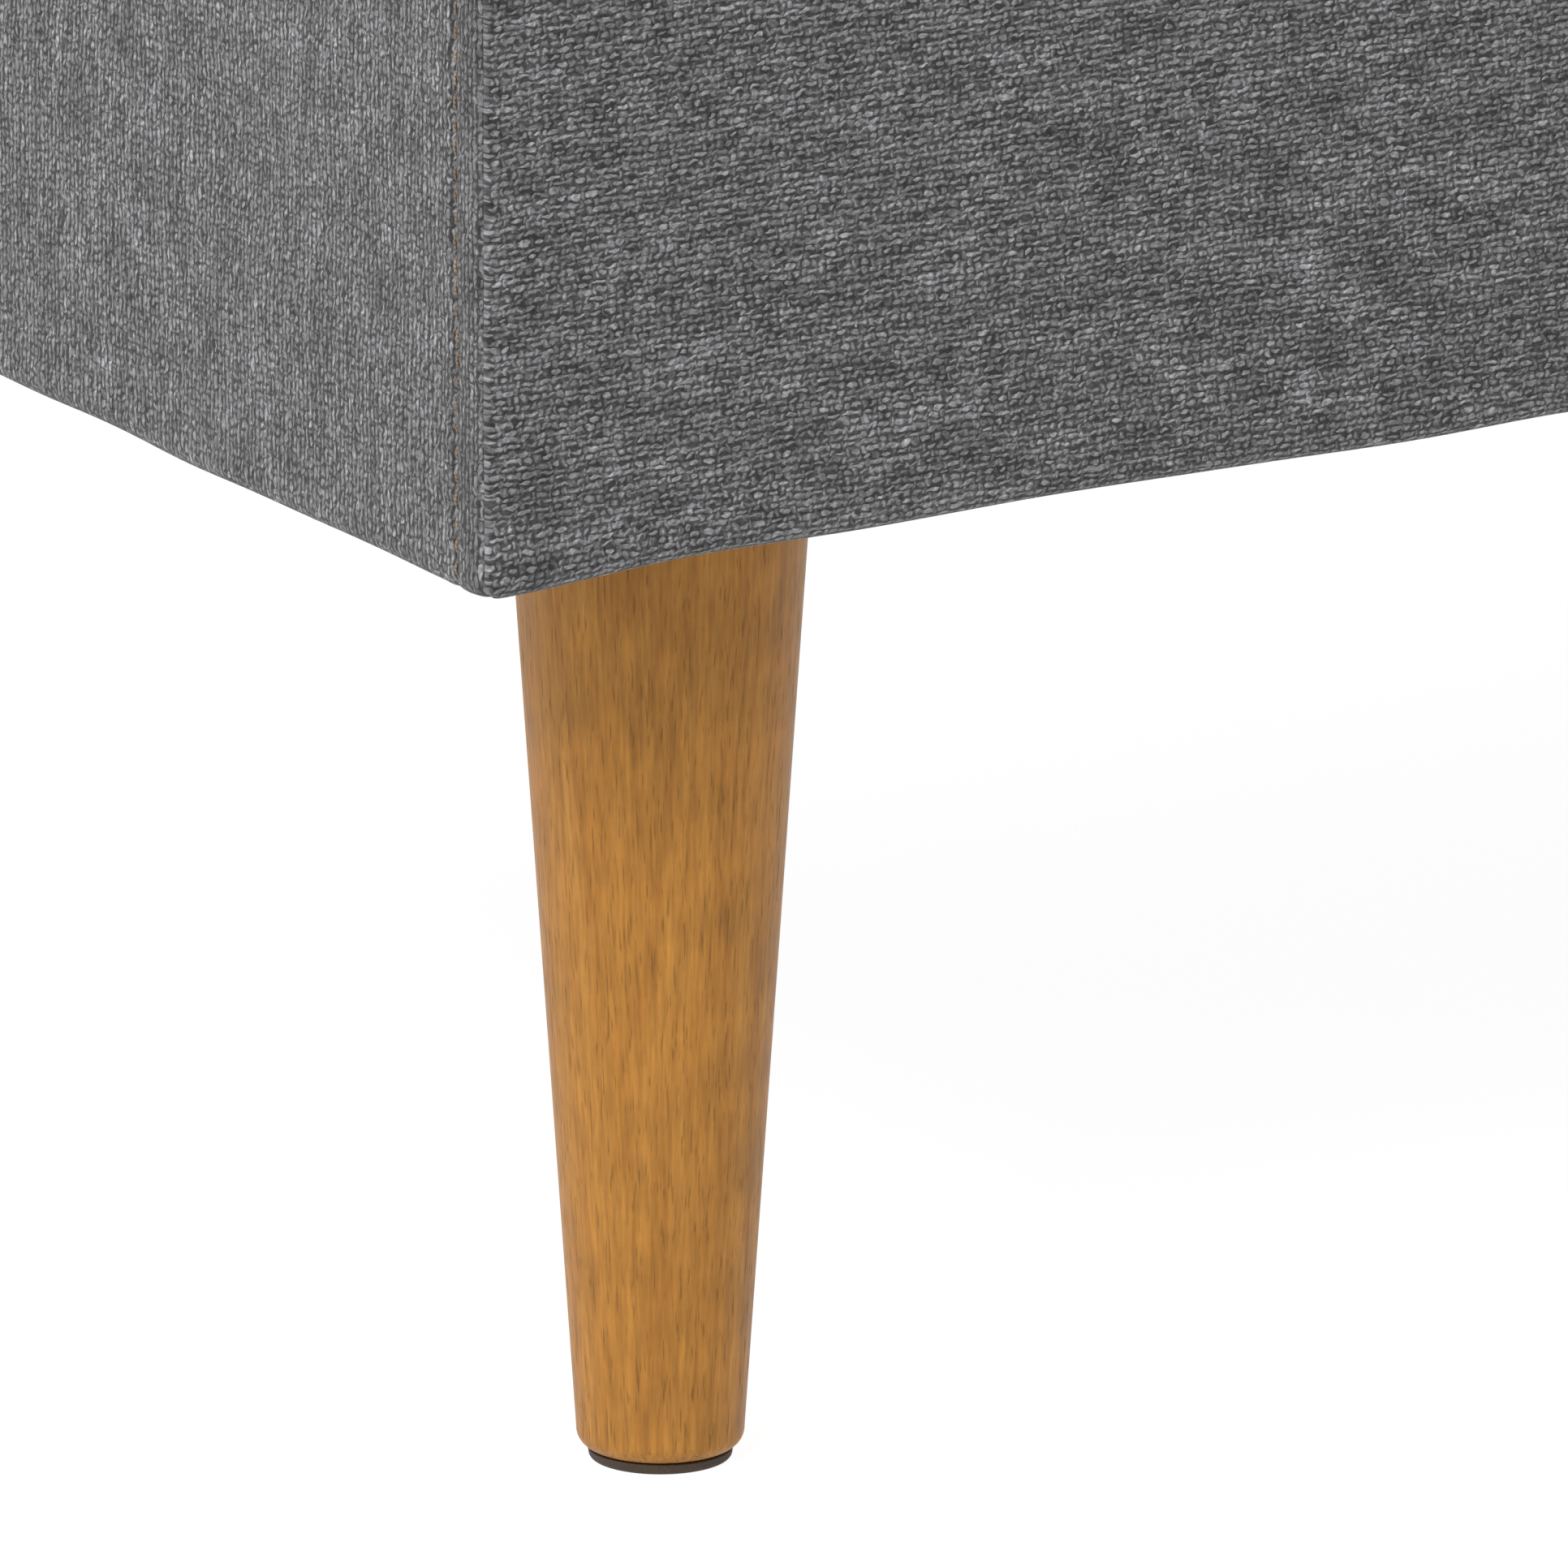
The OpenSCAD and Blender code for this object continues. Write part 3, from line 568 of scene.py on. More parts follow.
# Where the points lie across a sewn strip and its stitches, in mm from the corner
BODY_STRIP = (2.6, 3.6, 4.8, 6.0, 7.2, 8.4, 9.3, 10.0, 10.5, 11.0, 11.5, 12.1, 13.0, 14.2, 16.0, 18.5)
LID_STRIP = (2.6, 3.8, 5.2, 6.6, 8.0, 9.2, 10.0, 10.5, 11.0, 11.5, 12.1, 13.0, 14.4, 16.5)


def strip_sunk(d):
    """How far the sewn strip is sunk at a distance from the corner, both in mm."""
    inset = STITCH_INSET / MM
    share = np.clip((d - STRIP_FROM) / (inset - STRIP_FROM), 0, 1)
    raised = STRIP_RISE * np.sin(math.pi * share) ** 0.7
    shoulder = SHOULDER_RISE * bell(d, inset + 2.2, 1.5)
    return STITCH_SINK * bell(d, inset, 0.75) - raised - shoulder


def with_strip(edge, places):
    """An edge profile that goes on into a raised strip and its stitched line."""
    return edge + tuple((d, strip_sunk(d)) for d in places)


def places_across(length, edge, inner, step):
    """(places, how far each is sunk) across a panel, with an edge profile at both ends. inner, where
    the evenly spaced places begin, and step are in mm."""
    span = length / MM
    inside = np.linspace(inner, span - inner, round((span - 2 * inner) / step) + 1)
    places = [d for d, _ in edge] + list(inside) + [span - d for d, _ in edge[::-1]]
    sunk = [s for _, s in edge] + [0.0] * len(inside) + [s for _, s in edge[::-1]]
    return np.array(places) * MM, np.array(sunk) * MM


def strip_shade_mask(d):
    """1 on the sewn strip, where the cloth lies doubled, and 0 beyond its stitches. The upholstery
    darkens the strip by this as painted shade.
    """
    return np.clip((STITCH_INSET + 1.5 * MM - d) / (2 * MM), 0, 1)


def sewn_depth(columns, sunk, seed, ripple):
    """A depth function for wall_grid: the columns' own depth, a soft unevenness, and the stitches'
    pull, which is ripple mm."""
    across = columns + seed

    def depth(d, s):
        uneven = wave(across + 0.4 * s, (0.22, 0.083, 1.0), (0.16, 0.051, 2.0 + seed))
        uneven = uneven + wave(s - 0.3 * across, (0.18, 0.064, 0.5), (0.12, 0.037, seed))
        pull = ripple * bell(d, STITCH_INSET, 2.4 * MM) * np.cos(TURN * s / STITCH_PITCH)
        return sunk - (uneven * np.clip(d / EDGE_REACH, 0, 1) + pull) * MM

    return depth


# ---- Stitches ----
STITCH_LENGTH, STITCH_LENGTH_SPREAD = 3.2 * MM, 0.22 * MM
THREAD_R, THREAD_R_SPREAD = 0.3 * MM, 0.03 * MM
STITCH_ARCH, STITCH_LIFT = 0.45 * MM, 0.2 * MM
STITCH_DEEPER, UNDERSIDE_DEEPER = 0.16, 0.9
STITCH_RINGS, THREAD_SIDES = 7, 8


def add_stitches(name, lines, body, seed):
    """Thread lying in lines of stitches. A line is (points one pitch apart, outward normals)."""
    random = np.random.default_rng(seed)
    shape = (STITCH_RINGS, THREAD_SIDES)
    t = np.linspace(0, 1, STITCH_RINGS)
    angles = np.arange(THREAD_SIDES) * TURN / THREAD_SIDES
    girth = np.sin(math.pi * np.clip(t, 0.04, 0.96)) ** 0.4
    points, faces, values = [], [], []
    for where, normals in lines:
        for at, n, tangent in zip(where, normals, unit(np.gradient(where, axis=0))):
            length = STITCH_LENGTH + random.normal(0, STITCH_LENGTH_SPREAD)
            radius = THREAD_R + random.normal(0, THREAD_R_SPREAD)
            side = np.cross(n, tangent)
            tangent = unit(tangent + side * random.normal(0, 0.06))
            # Some lie deeper, and so do those on the underside
            sunk = (abs(random.normal(0, STITCH_DEEPER)) + UNDERSIDE_DEEPER * max(0.0, -n[2])) * MM
            arch = (1 - (2 * t - 1) ** 2) * STITCH_ARCH + STITCH_LIFT - sunk
            spine = at + tangent * ((t - 0.5) * length)[:, None] + n * arch[:, None]
            ring = side * np.cos(angles)[:, None] + n * np.sin(angles)[:, None]
            index = indices(*shape, start=len(points) * STITCH_RINGS * THREAD_SIDES)
            faces += tube(index)
            along = np.broadcast_to((t * length)[:, None], shape)
            around = np.broadcast_to(angles, shape)
            values.append(np.stack([along, around, np.full(shape, float(len(points) + 1))], -1))
            points.append(spine[:, None] + ring[None] * (radius * girth)[:, None, None])
    add_piece(name, np.array(points), faces, "upholstery_fabric", body, "cloth", np.array(values),
              material=THREAD)


def stitch_line(grid, place, columns):
    """The stitches' points and normals down a grid, at a place between its columns."""
    normals = grid_normals(grid)
    k = int(np.clip(np.searchsorted(columns, place) - 1, 0, len(columns) - 2))
    share = (place - columns[k]) / (columns[k + 1] - columns[k])
    line = grid[:, k] * (1 - share) + grid[:, k + 1] * share
    return spaced(line, unit(normals[:, k] * (1 - share) + normals[:, k + 1] * share))


def spaced(line, normals):
    """Points a pitch apart along a line, with their normals."""
    lengths = path_lengths(line)
    at = np.arange(STITCH_PITCH / 2, lengths[-1], STITCH_PITCH)
    where, n = [np.stack([np.interp(at, lengths, row) for row in values.T], 1)
                for values in (line, normals)]
    return where, unit(n)


# ---- The box's cover and wadding ----
EDGE_R = 3.6 * MM
STITCH_RIPPLE = 0.16


def long_edge_line(u, half, seed):
    """How the bottom edge of a long side runs: thick folds at the corners, faint puckers between."""
    d = (half - np.abs(u)) / MM
    line = 0.6 * bell(d, 105, 60) - 1.7 * bell(d, 0, 26)
    puckers = wave(u / MM + seed * 40, (0.16, 58, 0.3), (0.12, 91, 1.7))
    return (line + puckers * np.clip(d / 60, 0, 1)) * MM


def end_edge_line(u, half, seed):
    """The same for an end: a heavy fold under the sewn strip and two swells nearer the middle."""
    d = (half - np.abs(u)) / MM
    line = -1.3 * bell(d, 10, 22) - 1.25 * bell(d, 45, 45) - 1.1 * bell(d, 104, 28)
    return (line + wave(u / MM + seed * 40, (0.15, 47, 0.9)) * np.clip(d / 90, 0, 1)) * MM


def body_covers():
    lines = []
    for index, side in enumerate(DIRECTIONS):
        is_end = side in SIDES
        half = BODY_PLACES[side][1]
        if is_end:
            places, sunk = places_across(2 * half, with_strip(END_EDGE, BODY_STRIP), 22, 4)
            step, ripple, edge = STITCH_PITCH / 3, STITCH_RIPPLE, end_edge_line
        else:
            places, sunk = places_across(2 * half, LONG_EDGE, 2.5, 4)
            step, ripple, edge = 3 * MM, 0.0, long_edge_line
        columns = places - half
        path = rounded_path(BOX_Z1, BOX_Z0, WALL, EDGE_R, step)
        grid, u, v = wall_grid(side, BODY_PLACES, path, columns,
                               sewn_depth(columns, sunk, index * 1.7, ripple),
                               edge(columns, half, index))
        # The sewn strip's mask: there the upholstery is darkened as painted shade
        sewn = np.broadcast_to(strip_shade_mask(half - np.abs(columns)), u.shape)
        # The warp of the end panels runs across, so their u and v change places
        cloth = np.stack([v, u, sewn] if is_end else [u, v, 0 * u], -1)
        cloth = cloth + (index * 1.13, index * 0.71, 0)
        add_cloth(f"body_cloth_{side}", grid, cloth, "upholstery_fabric", "root",
                  (2 * half, path_lengths(path)[-1]), [f"body_cover_{side}"])
        if is_end:
            lines += [stitch_line(grid, end * (half - STITCH_INSET), columns) for end in (-1, 1)]
    add_stitches("body_topstitching", lines, "root", seed=11)


WADDING_INSET, WADDING_T = 1.6 * MM, 5.5 * MM
WADDING_PINCH = 1.6 * MM


def body_wadding():
    """The wadding between the panels and the cover: a soft ring, thin over the edges."""
    outer, inner = [side_places(BOX_HALF - inset, FRONT_Y + inset, REAR_Y - inset)
                    for inset in (WADDING_INSET, WADDING_INSET + WADDING_T)]
    z = np.linspace(BOX_Z1 - 3 * MM, BOX_Z0 + 4 * MM, 30)
    pinch = WADDING_PINCH * (bell(z, z[0], 5 * MM) + bell(z, z[-1], 5 * MM))
    rings = [loop_points(outer, thin, height) for height, thin in zip(z, pinch)]
    rings += [loop_points(inner, 0.0, height) for height in z[::-1]]
    index = indices(len(rings), len(rings[0]))
    faces = quads(np.concatenate([index, index[:1]]), closed=True)
    pad = add_piece("body_wadding_pad", rings, faces, "wadding", "root", replaces=["body_wadding"])


def loop_points(places, inset, z, corner=3 * MM):
    """Points round a rectangle with rounded corners, anticlockwise from above."""
    points = []
    for side in ROUND:
        reach = places[side][1] - inset - corner
        u = np.linspace(-reach, reach, 30 if side in SIDES else 60)
        wobble = 0.25 * MM * np.sin(u / (23 * MM)) * math.sin(z / (31 * MM))
        points.append(off_side(side, places, u, inset + wobble, z))
    return np.concatenate(points)


# ---- The lid's cushion, blown up by cloth simulation ----
LID_STEP = 9 * MM
LID_START_LOW = 7.5 * MM  # the start shape's top is this much below the cushion's
LID_START_IN = 1.5 * MM
LID_CAP = 13 * MM
LID_PRESSURE = 4.0
LID_FRAMES = 20
# What is left of the movement sideways on the top, and up or down on the sides
TOP_SIDEWAYS, SIDE_UPWARDS = 0.15, 0.2
# How firmly each ring of the strip is held, from the top seam down: the foam's edge holds it a
# little, and the board's edge holds the last rings fast
LID_PINS = (0.5, 0.25, 0.15, 0.15, 0.2, 0.35, 0.7, 1, 1, 1)
LID_ROLL = 3 * MM
STRIP_TOP, STRIP_LOW = LID_Z1 - LID_START_LOW, LID_Z0 + LID_ROLL
STRIP_HEIGHT = STRIP_TOP - STRIP_LOW


def lid_shell():
    """The start shape: (points, faces, top grid's indices, {side: strip's indices}, rings of indices
    from the top seam down)."""
    x_half = LID_HALF - LID_START_IN
    y0, y1 = LID_FRONT_Y + LID_START_IN, LID_REAR_Y - LID_START_IN
    nx, ny = round(2 * x_half / LID_STEP) + 1, round((y1 - y0) / LID_STEP) + 1
    gx, gy = np.meshgrid(np.linspace(-x_half, x_half, nx), np.linspace(y1, y0, ny))
    points = [np.stack([gx, gy, np.full_like(gx, STRIP_TOP)], -1).reshape(-1, 3)]
    top = indices(ny, nx)
    # The rim, anticlockwise from above, starting at the front left corner
    rim = np.concatenate([top[-1, :], top[-2::-1, -1], top[0, -2::-1], top[1:-1, 0]])
    rings = [rim]
    edge = points[0][rim]
    outwards = np.stack([
        np.sign(edge[:, 0]) * np.isclose(np.abs(edge[:, 0]), x_half),
        np.isclose(edge[:, 1], y1).astype(float) - np.isclose(edge[:, 1], y0),
        np.zeros(len(rim)),
    ], 1)
    for share in np.arange(1, len(LID_PINS)) / (len(LID_PINS) - 1):
        rings.append(top.size + len(rim) * (len(rings) - 1) + np.arange(len(rim)))
        points.append(edge + outwards * LID_START_IN * share - (0, 0, STRIP_HEIGHT * share))
    rings = np.array(rings)
    faces = np.concatenate([quads(top), quads(rings, closed=True)])
    strips, start = {}, 0
    for side in ROUND:
        count = ny if side in SIDES else nx
        strips[side] = rings[:, (start + np.arange(count)) % len(rim)]
        start += count - 1
    return np.concatenate(points), faces, top, strips, rings


def blown(points, faces, rings):
    """The points after the cloth simulation, with each one's movement capped."""
    mesh = bpy.data.meshes.new("lid_sim")
    mesh.from_pydata(points.tolist(), [], faces.tolist())
    sim = add_object("lid_sim", mesh)
    pins = sim.vertex_groups.new(name="pin")
    for share, ring in zip(LID_PINS, rings):
        pins.add(ring.tolist(), share, "ADD")
    cloth = sim.modifiers.new("cloth", "CLOTH")
    settings = cloth.settings
    settings.quality = 6
    settings.mass = 0.3
    settings.tension_stiffness = settings.compression_stiffness = 12
    settings.shear_stiffness = 8
    settings.bending_stiffness = 1.5
    settings.use_pressure = True
    settings.uniform_pressure_force = LID_PRESSURE
    settings.vertex_group_mass = "pin"
    settings.effector_weights.gravity = 0
    cloth.collision_settings.use_collision = False
    cloth.point_cache.frame_start, cloth.point_cache.frame_end = 1, LID_FRAMES
    for step in range(1, LID_FRAMES + 1):
        scene.frame_set(step)
    evaluated = sim.evaluated_get(bpy.context.evaluated_depsgraph_get())
    shift = np.array([v.co for v in evaluated.data.vertices]) - points
    bpy.data.objects.remove(sim)
    scene.frame_set(1)
    # The foam keeps the outline: nothing moves inwards
    inward = shift[:, :2] * np.sign(points[:, :2] - (0, LID_MIDDLE_Y)) < 0
    shift[:, :2][inward] = 0
    on_top = points[:, 2] > STRIP_TOP - 0.1 * MM
    shift[on_top, :2] *= TOP_SIDEWAYS
    shift[~on_top, 2] *= SIDE_UPWARDS
    size = np.linalg.norm(shift, axis=1, keepdims=True)
    return points + shift * LID_CAP * np.tanh(size / LID_CAP) / np.maximum(size, 1e-9)


def cubic(grid, at, axis):
    """A grid's points at fractional places along an axis, by Catmull-Rom curves."""
    grid = np.moveaxis(grid, axis, 0)
    last = len(grid) - 1
    k = np.clip(np.floor(at).astype(int), 0, last - 1)
    t = (at - k)[:, None, None]
    before, after = np.clip(k - 1, 0, last), np.clip(k + 2, 0, last)
    p0, p1, p2, p3 = grid[before], grid[k], grid[k + 1], grid[after]
    curve = 0.5 * (2 * p1 + (p2 - p0) * t + (2 * p0 - 5 * p1 + 4 * p2 - p3) * t**2
                   + (3 * p1 - p0 - 3 * p2 + p3) * t**3)
    return np.moveaxis(curve, 0, axis)


def resampled(grid, rows, columns):
    return cubic(cubic(grid, rows, 0), columns, 1)


def nearest(places, place):
    return int(np.argmin(np.abs(places - place)))


def lid_covers():
    """The lid's five cloth panels, cut out of the blown shell along its seams."""
    start, faces, top, strips, rings = lid_shell()
    shape = blown(start, faces, rings)
    lines = lid_top(shape[top])
    for index, side in enumerate(DIRECTIONS):
        lines += lid_side(side, shape[strips[side]], index)
    add_stitches("lid_topstitching", lines, "lid", seed=23)
    lid_foam(start, shape, faces)


def lid_top(grid):
    """The top panel, stitched all round. Returns its lines of stitches."""
    ny, nx = grid.shape[:2]
    length, width = 2 * LID_HALF, LID_REAR_Y - LID_FRONT_Y
    edge = with_strip(SEAM_ROLL, LID_STRIP)
    u, sunk_x = places_across(length, edge, 20, 7)
    v, sunk_y = places_across(width, edge, 20, 7)
    at_x, at_y = u / length * (nx - 1), v / width * (ny - 1)
    # Normals are taken a little inside the edge, where the shell is still smooth
    normals = grid_normals(resampled(grid, np.clip(at_y, 0.4, ny - 1.4), np.clip(at_x, 0.4, nx - 1.4)))
    uu, vv = np.meshgrid(u, v)
    from_edge = np.minimum(np.minimum(uu, length - uu), np.minimum(vv, width - vv))
    pull = 0.12 * bell(from_edge, STITCH_INSET, 2.5 * MM)
    soft = wave(uu + 0.5 * vv, (0.35, 0.19, 0.4), (0.25, 0.117, 2.0))
    soft = soft + wave(vv - 0.3 * uu, (0.3, 0.151, 1.1), (0.2, 0.083, 0.2))
    drop = pull * np.cos(TURN * (uu + vv) / (3 * STITCH_PITCH))
    drop = drop - soft * np.clip(from_edge / (30 * MM), 0, 1)
    drop = corner_depth(sunk_x, sunk_y) + drop * MM
    fine = resampled(grid, at_y, at_x) - normals * drop[..., None]
    cloth = np.stack([uu + 0.37, -vv + 4.1, 0 * uu], -1)
    add_cloth("lid_cloth_top", fine, cloth, "upholstery_fabric", "lid", (length, width),
              ["lid_cover_top"])
    i, i_end = nearest(v, STITCH_INSET), nearest(v, width - STITCH_INSET)
    j, j_end = nearest(u, STITCH_INSET), nearest(u, length - STITCH_INSET)
    across, down = slice(j, j_end + 1), slice(i, i_end + 1)
    lines = [(fine[row, across], normals[row, across]) for row in (i, i_end)]
    lines += [(fine[down, col], normals[down, col]) for col in (j, j_end)]
    return [spaced(line, n) for line, n in lines]


def corner_depth(sunk_x, sunk_y):
    """The depth of a panel sewn on all four sides: the deeper edge wins, and a raised strip doesn't
    add up."""
    a, b = np.meshgrid(sunk_x, sunk_y)
    deep = np.maximum(np.maximum(a, b), 0)
    raised = np.minimum(np.minimum(a, b), 0)
    return np.where(deep > 0.05 * MM, deep, raised + deep)


SIDE_ROWS = 22


def lid_side(side, strip, index):
    """One boxing strip with its turn round the board's edge and under it. Returns its stitch lines."""
    is_end = side in SIDES
    rows, count = strip.shape[:2]
    half = LID_PLACES[side][1]
    edge, inner = (with_strip(END_EDGE, LID_STRIP), 20) if is_end else (LONG_EDGE, 2.6)
    places, sunk = places_across(2 * half, edge, inner, 6)
    at = places / (2 * half) * (count - 1)
    down = np.concatenate([[d for d, _ in SEAM_ROLL], np.linspace(2.6, STRIP_HEIGHT / MM, SIDE_ROWS)])
    sunk_down = np.concatenate([[s for _, s in SEAM_ROLL], np.zeros(SIDE_ROWS)])[:, None] * MM
    at_row = np.clip(down * MM / STRIP_HEIGHT * (rows - 1), 0, rows - 1)
    # The sinking goes mostly straight out of the side, and follows the shell's bulge a little
    smooth = resampled(strip, np.clip(at_row, 0.3, rows - 1), np.clip(at, 0.4, count - 1.4))
    normals = unit(grid_normals(smooth) * 0.3 + np.array([*DIRECTIONS[side][1], 0.0]) * 0.7)
    uu, vv = np.meshgrid(places, down * MM)
    soft = wave(uu + index, (0.3, 0.113, 0.4), (0.2, 0.067, 2.0)) * np.sin(math.pi * vv / STRIP_HEIGHT)
    drop = np.where(sunk_down > 0, np.maximum(sunk_down, sunk), sunk) - soft * MM
    fine = resampled(strip, at_row, at) - normals * drop[..., None]
    under = lid_under(side, places - half, sunk)
    whole = np.concatenate([fine, under[1:]])
    under_lengths = STRIP_HEIGHT + path_lengths(under[:, under.shape[1] // 2])[1:]
    lengths = np.concatenate([down * MM, under_lengths])[:, None] + 0 * uu[:1]
    u_cloth = places + 0 * lengths
    cloth = np.stack([u_cloth, -lengths, 0 * lengths], -1)
    if is_end:
        # The sewn strip's mask: there the upholstery is darkened as painted shade
        sewn = strip_shade_mask(np.minimum(places, 2 * half - places)) + 0 * lengths
        cloth = np.stack([-lengths, u_cloth, sewn], -1)
    cloth = cloth + (5.2 + index * 1.07, index * 0.59, 0)
    add_cloth(f"lid_cloth_{side}", whole, cloth, "upholstery_fabric", "lid",
              (2 * half, float(lengths.max())), [f"lid_cover_{side}"])
    if not is_end:
        return []
    below_roll = slice(4, None)
    n = grid_normals(whole)
    stitched = [nearest(places, place) for place in (STITCH_INSET, 2 * half - STITCH_INSET)]
    return [spaced(whole[below_roll, k], n[below_roll, k]) for k in stitched]


def lid_under(side, columns, sunk):
    """The roll round the board's lower edge and the turn-under, as rows of points."""
    path = edge_path(LID_Z0, LID_FOLD, LID_ROLL, 6, 8)
    return wall_grid(side, LID_PLACES, path, columns, lambda d, s: sunk + 0 * s)[0]


FOAM_IN, FOAM_LOW = 4.2 * MM, 3.2 * MM


def lid_foam(start, shape, faces):
    """The foam block and its wrap, just inside the cover."""
    inner = shape.copy()
    for axis, middle, half in ((0, 0, LID_HALF), (1, LID_MIDDLE_Y, LID_REAR_Y - LID_MIDDLE_Y)):
        off = inner[:, axis] - middle
        inner[:, axis] -= np.sign(off) * FOAM_IN * (np.abs(off) / half) ** 8
    foam_z0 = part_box("lid_foam")[0].z
    inner[:, 2] = np.maximum(inner[:, 2] - FOAM_LOW, foam_z0)
    used = faces[start[faces][:, :, 2].max(axis=1) > foam_z0]
    pad = add_piece("lid_foam_pad", inner, used, "foam", "lid", replaces=["lid_foam"])


# ---- Linings ----
LINING_STEP = 9 * MM


def flat_sheet(name, x_half, y0, y1, z, relief, body, seed, replaces, holes=(), facing=1):
    """A nearly flat sheet of lining. relief(x, y) gives its height above z, facing +1 is up."""
    xs = np.linspace(-x_half, x_half, round(2 * x_half / LINING_STEP) + 1)
    ys = np.linspace(y1, y0, round((y1 - y0) / LINING_STEP) + 1)
    gx, gy = np.meshgrid(xs, ys)
    cloth = np.stack([gx + seed, gy - seed, 0 * gx], -1).reshape(-1, 3)
    points = np.stack([gx, gy, z + relief(gx, gy)], -1).reshape(-1, 3)
    faces = quads(indices(*gx.shape))
    for x, y, radius in holes:
        faces = cut_hole(points, faces, x, y, radius)
    used, corners = np.unique(faces, return_inverse=True)
    add_cloth(name, points[used], cloth[used], "lining_cloth", body, (2 * x_half, y1 - y0),
              replaces, corners.reshape(faces.shape)[:, ::facing])


def cut_hole(points, faces, x, y, radius):
    """Drops the faces inside a circle and draws the edge left to the circle."""
    away = points[:, :2] - (x, y)
    distance = np.linalg.norm(away, axis=1)
    faces = faces[(distance[faces] >= radius).any(axis=1)]
    rim = np.unique(faces[distance[faces] < radius])
    points[rim, :2] = (x, y) + away[rim] / distance[rim, None] * radius
    return faces


def leg_places():
    """(name, low corner, high corner) of each leg, the two front ones first."""
    names = [f"{face}_{side}" for face in ("front", "rear") for side in SIDES]
    return [(name, *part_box(f"leg_{name}")) for name in names]


def linings():
    low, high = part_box("storage_lining")
    holes = [((a.x + b.x) / 2, (a.y + b.y) / 2, (b.x - a.x) / 2 + 1.2 * MM)
             for _, a, b in leg_places()]

    def sag(x, y):
        puckers = wave(x + 0.4 * y, (0.25, 0.071, 0.0), (0.2, 0.043, 1.0))
        return MM * (puckers - 1.6 * np.cos(x / low.x * 1.5) * np.cos(y / low.y * 1.5))

    def on_the_floor(x, y):
        return MM * (0.4 + wave(x - 0.3 * y, (0.3, 0.13, 0.5), (0.2, 0.061, 0.0)))

    def under_the_lid(x, y):
        return -MM * (0.2 + wave(x + 0.2 * y, (0.2, 0.097, 0.0), (0.12, 0.053, 0.7)))

    dust_lo, dust_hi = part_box("dust_cover")
    flat_sheet("dust_cover_cloth", dust_hi.x, dust_lo.y, dust_hi.y, dust_lo.z, sag, "root", 2.0,
               ["dust_cover"], holes, facing=-1)
    gap = 0.8 * MM
    flat_sheet("storage_lining_floor", high.x - gap, low.y + gap, high.y - gap, low.z + 0.7 * MM,
               on_the_floor, "root", 3.0, ["storage_lining"])
    storage_walls(low, high)
    lid_lo, lid_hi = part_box("lid_lining")
    tuck = 4 * MM
    flat_sheet("lid_lining_cloth", lid_hi.x + tuck, lid_lo.y - tuck, lid_hi.y + tuck,
               lid_lo.z + 0.3 * MM, under_the_lid, "lid", 4.0, ["lid_lining"],
               facing=-1)


def storage_walls(low, high):
    """The lining of the box's four walls, seen from inside."""
    places = side_places(high.x, low.y, high.y)
    for index, side in enumerate(DIRECTIONS):
        half = places[side][1]
        reach = half - 0.6 * MM
        u, z = np.meshgrid(np.linspace(reach, -reach, round(2 * half / LINING_STEP)),
                           np.linspace(high.z - 0.5 * MM, low.z + 0.6 * MM, 17))
        proud = MM * (0.7 + wave(u + 0.3 * z, (0.25, 0.083, index), (0.2, 0.047, 0.3)))
        cloth = np.stack([u + 5 + index, z, 0 * u], -1)
        add_cloth(f"storage_lining_{side}", off_side(side, places, u, proud, z), cloth,
                  "lining_cloth", "root", (2 * half, high.z - low.z))


# ---- Turned parts ----
FOOT_R = 14.5 * MM
LEG_EDGE_TOP, LEG_EDGE_LOW = 0.8 * MM, 3.5 * MM
LEG_UNEVEN = 0.0006
GRAIN_TURNS = (0.4, 2.1, 3.9, 5.2)
GRAIN_APART = 0.31  # along the wood, for each radian of a leg's turn
GLIDE_IN = 0.5 * MM  # the glide's rim is this much inside the pad's
GLIDE_TAPER, GLIDE_EDGE_TOP, GLIDE_EDGE_LOW = 0.3 * MM, 0.3 * MM, 1.1 * MM
BUMPER_R = 6 * MM


def turned(name, outline, centre, slot, replaces, sides, uneven=0.0, grain_turn=None):
    """A turned solid from (radius, z) points that run from the top's axis to the bottom's. With
    grain_turn it carries the grain of its own piece of the wood, turned by that angle."""
    angles = np.arange(sides) * TURN / sides
    r, z = np.array(outline).T[:, :, None]
    r = r * (1 + uneven * np.sin(3 * angles + z * 40))
    local = np.stack([r * np.cos(angles), r * np.sin(angles), z + 0 * r], -1)
    field = grain = None
    if grain_turn is not None:
        c, s = math.cos(grain_turn), math.sin(grain_turn)
        field = "grain"
        grain = local @ np.array([[c, -s, 0], [s, c, 0], [0, 0, 1]])
        grain = grain + (0, 0, grain_turn * GRAIN_APART)
    add_piece(name, local + (*centre, 0), tube(indices(len(outline), sides)), slot, "root",
              field, grain, replaces)


def rounded_side(radius_top, z_top, radius_low, z_low, edge_top, edge_low, steps=40):
    """The outline of a taper with both edges rounded."""
    lean = math.atan2(radius_top - radius_low, z_top - z_low)
    top_x = radius_top - edge_top
    low_x = radius_low + edge_low * math.tan(lean) - edge_low / math.cos(lean)
    top = [(top_x + edge_top * math.sin(a), z_top - edge_top + edge_top * math.cos(a))
           for a in np.linspace(0.12, math.pi / 2 - lean, 7)]
    low = [(low_x + edge_low * math.cos(a), z_low + edge_low - edge_low * math.sin(a))
           for a in np.linspace(-lean, math.pi / 2 - 0.12, 9)]
    a, b = np.array(top[-1]), np.array(low[0])
    side = [tuple(a + (b - a) * t) for t in np.linspace(0, 1, steps + 1)[1:-1]]
    return top + side + low


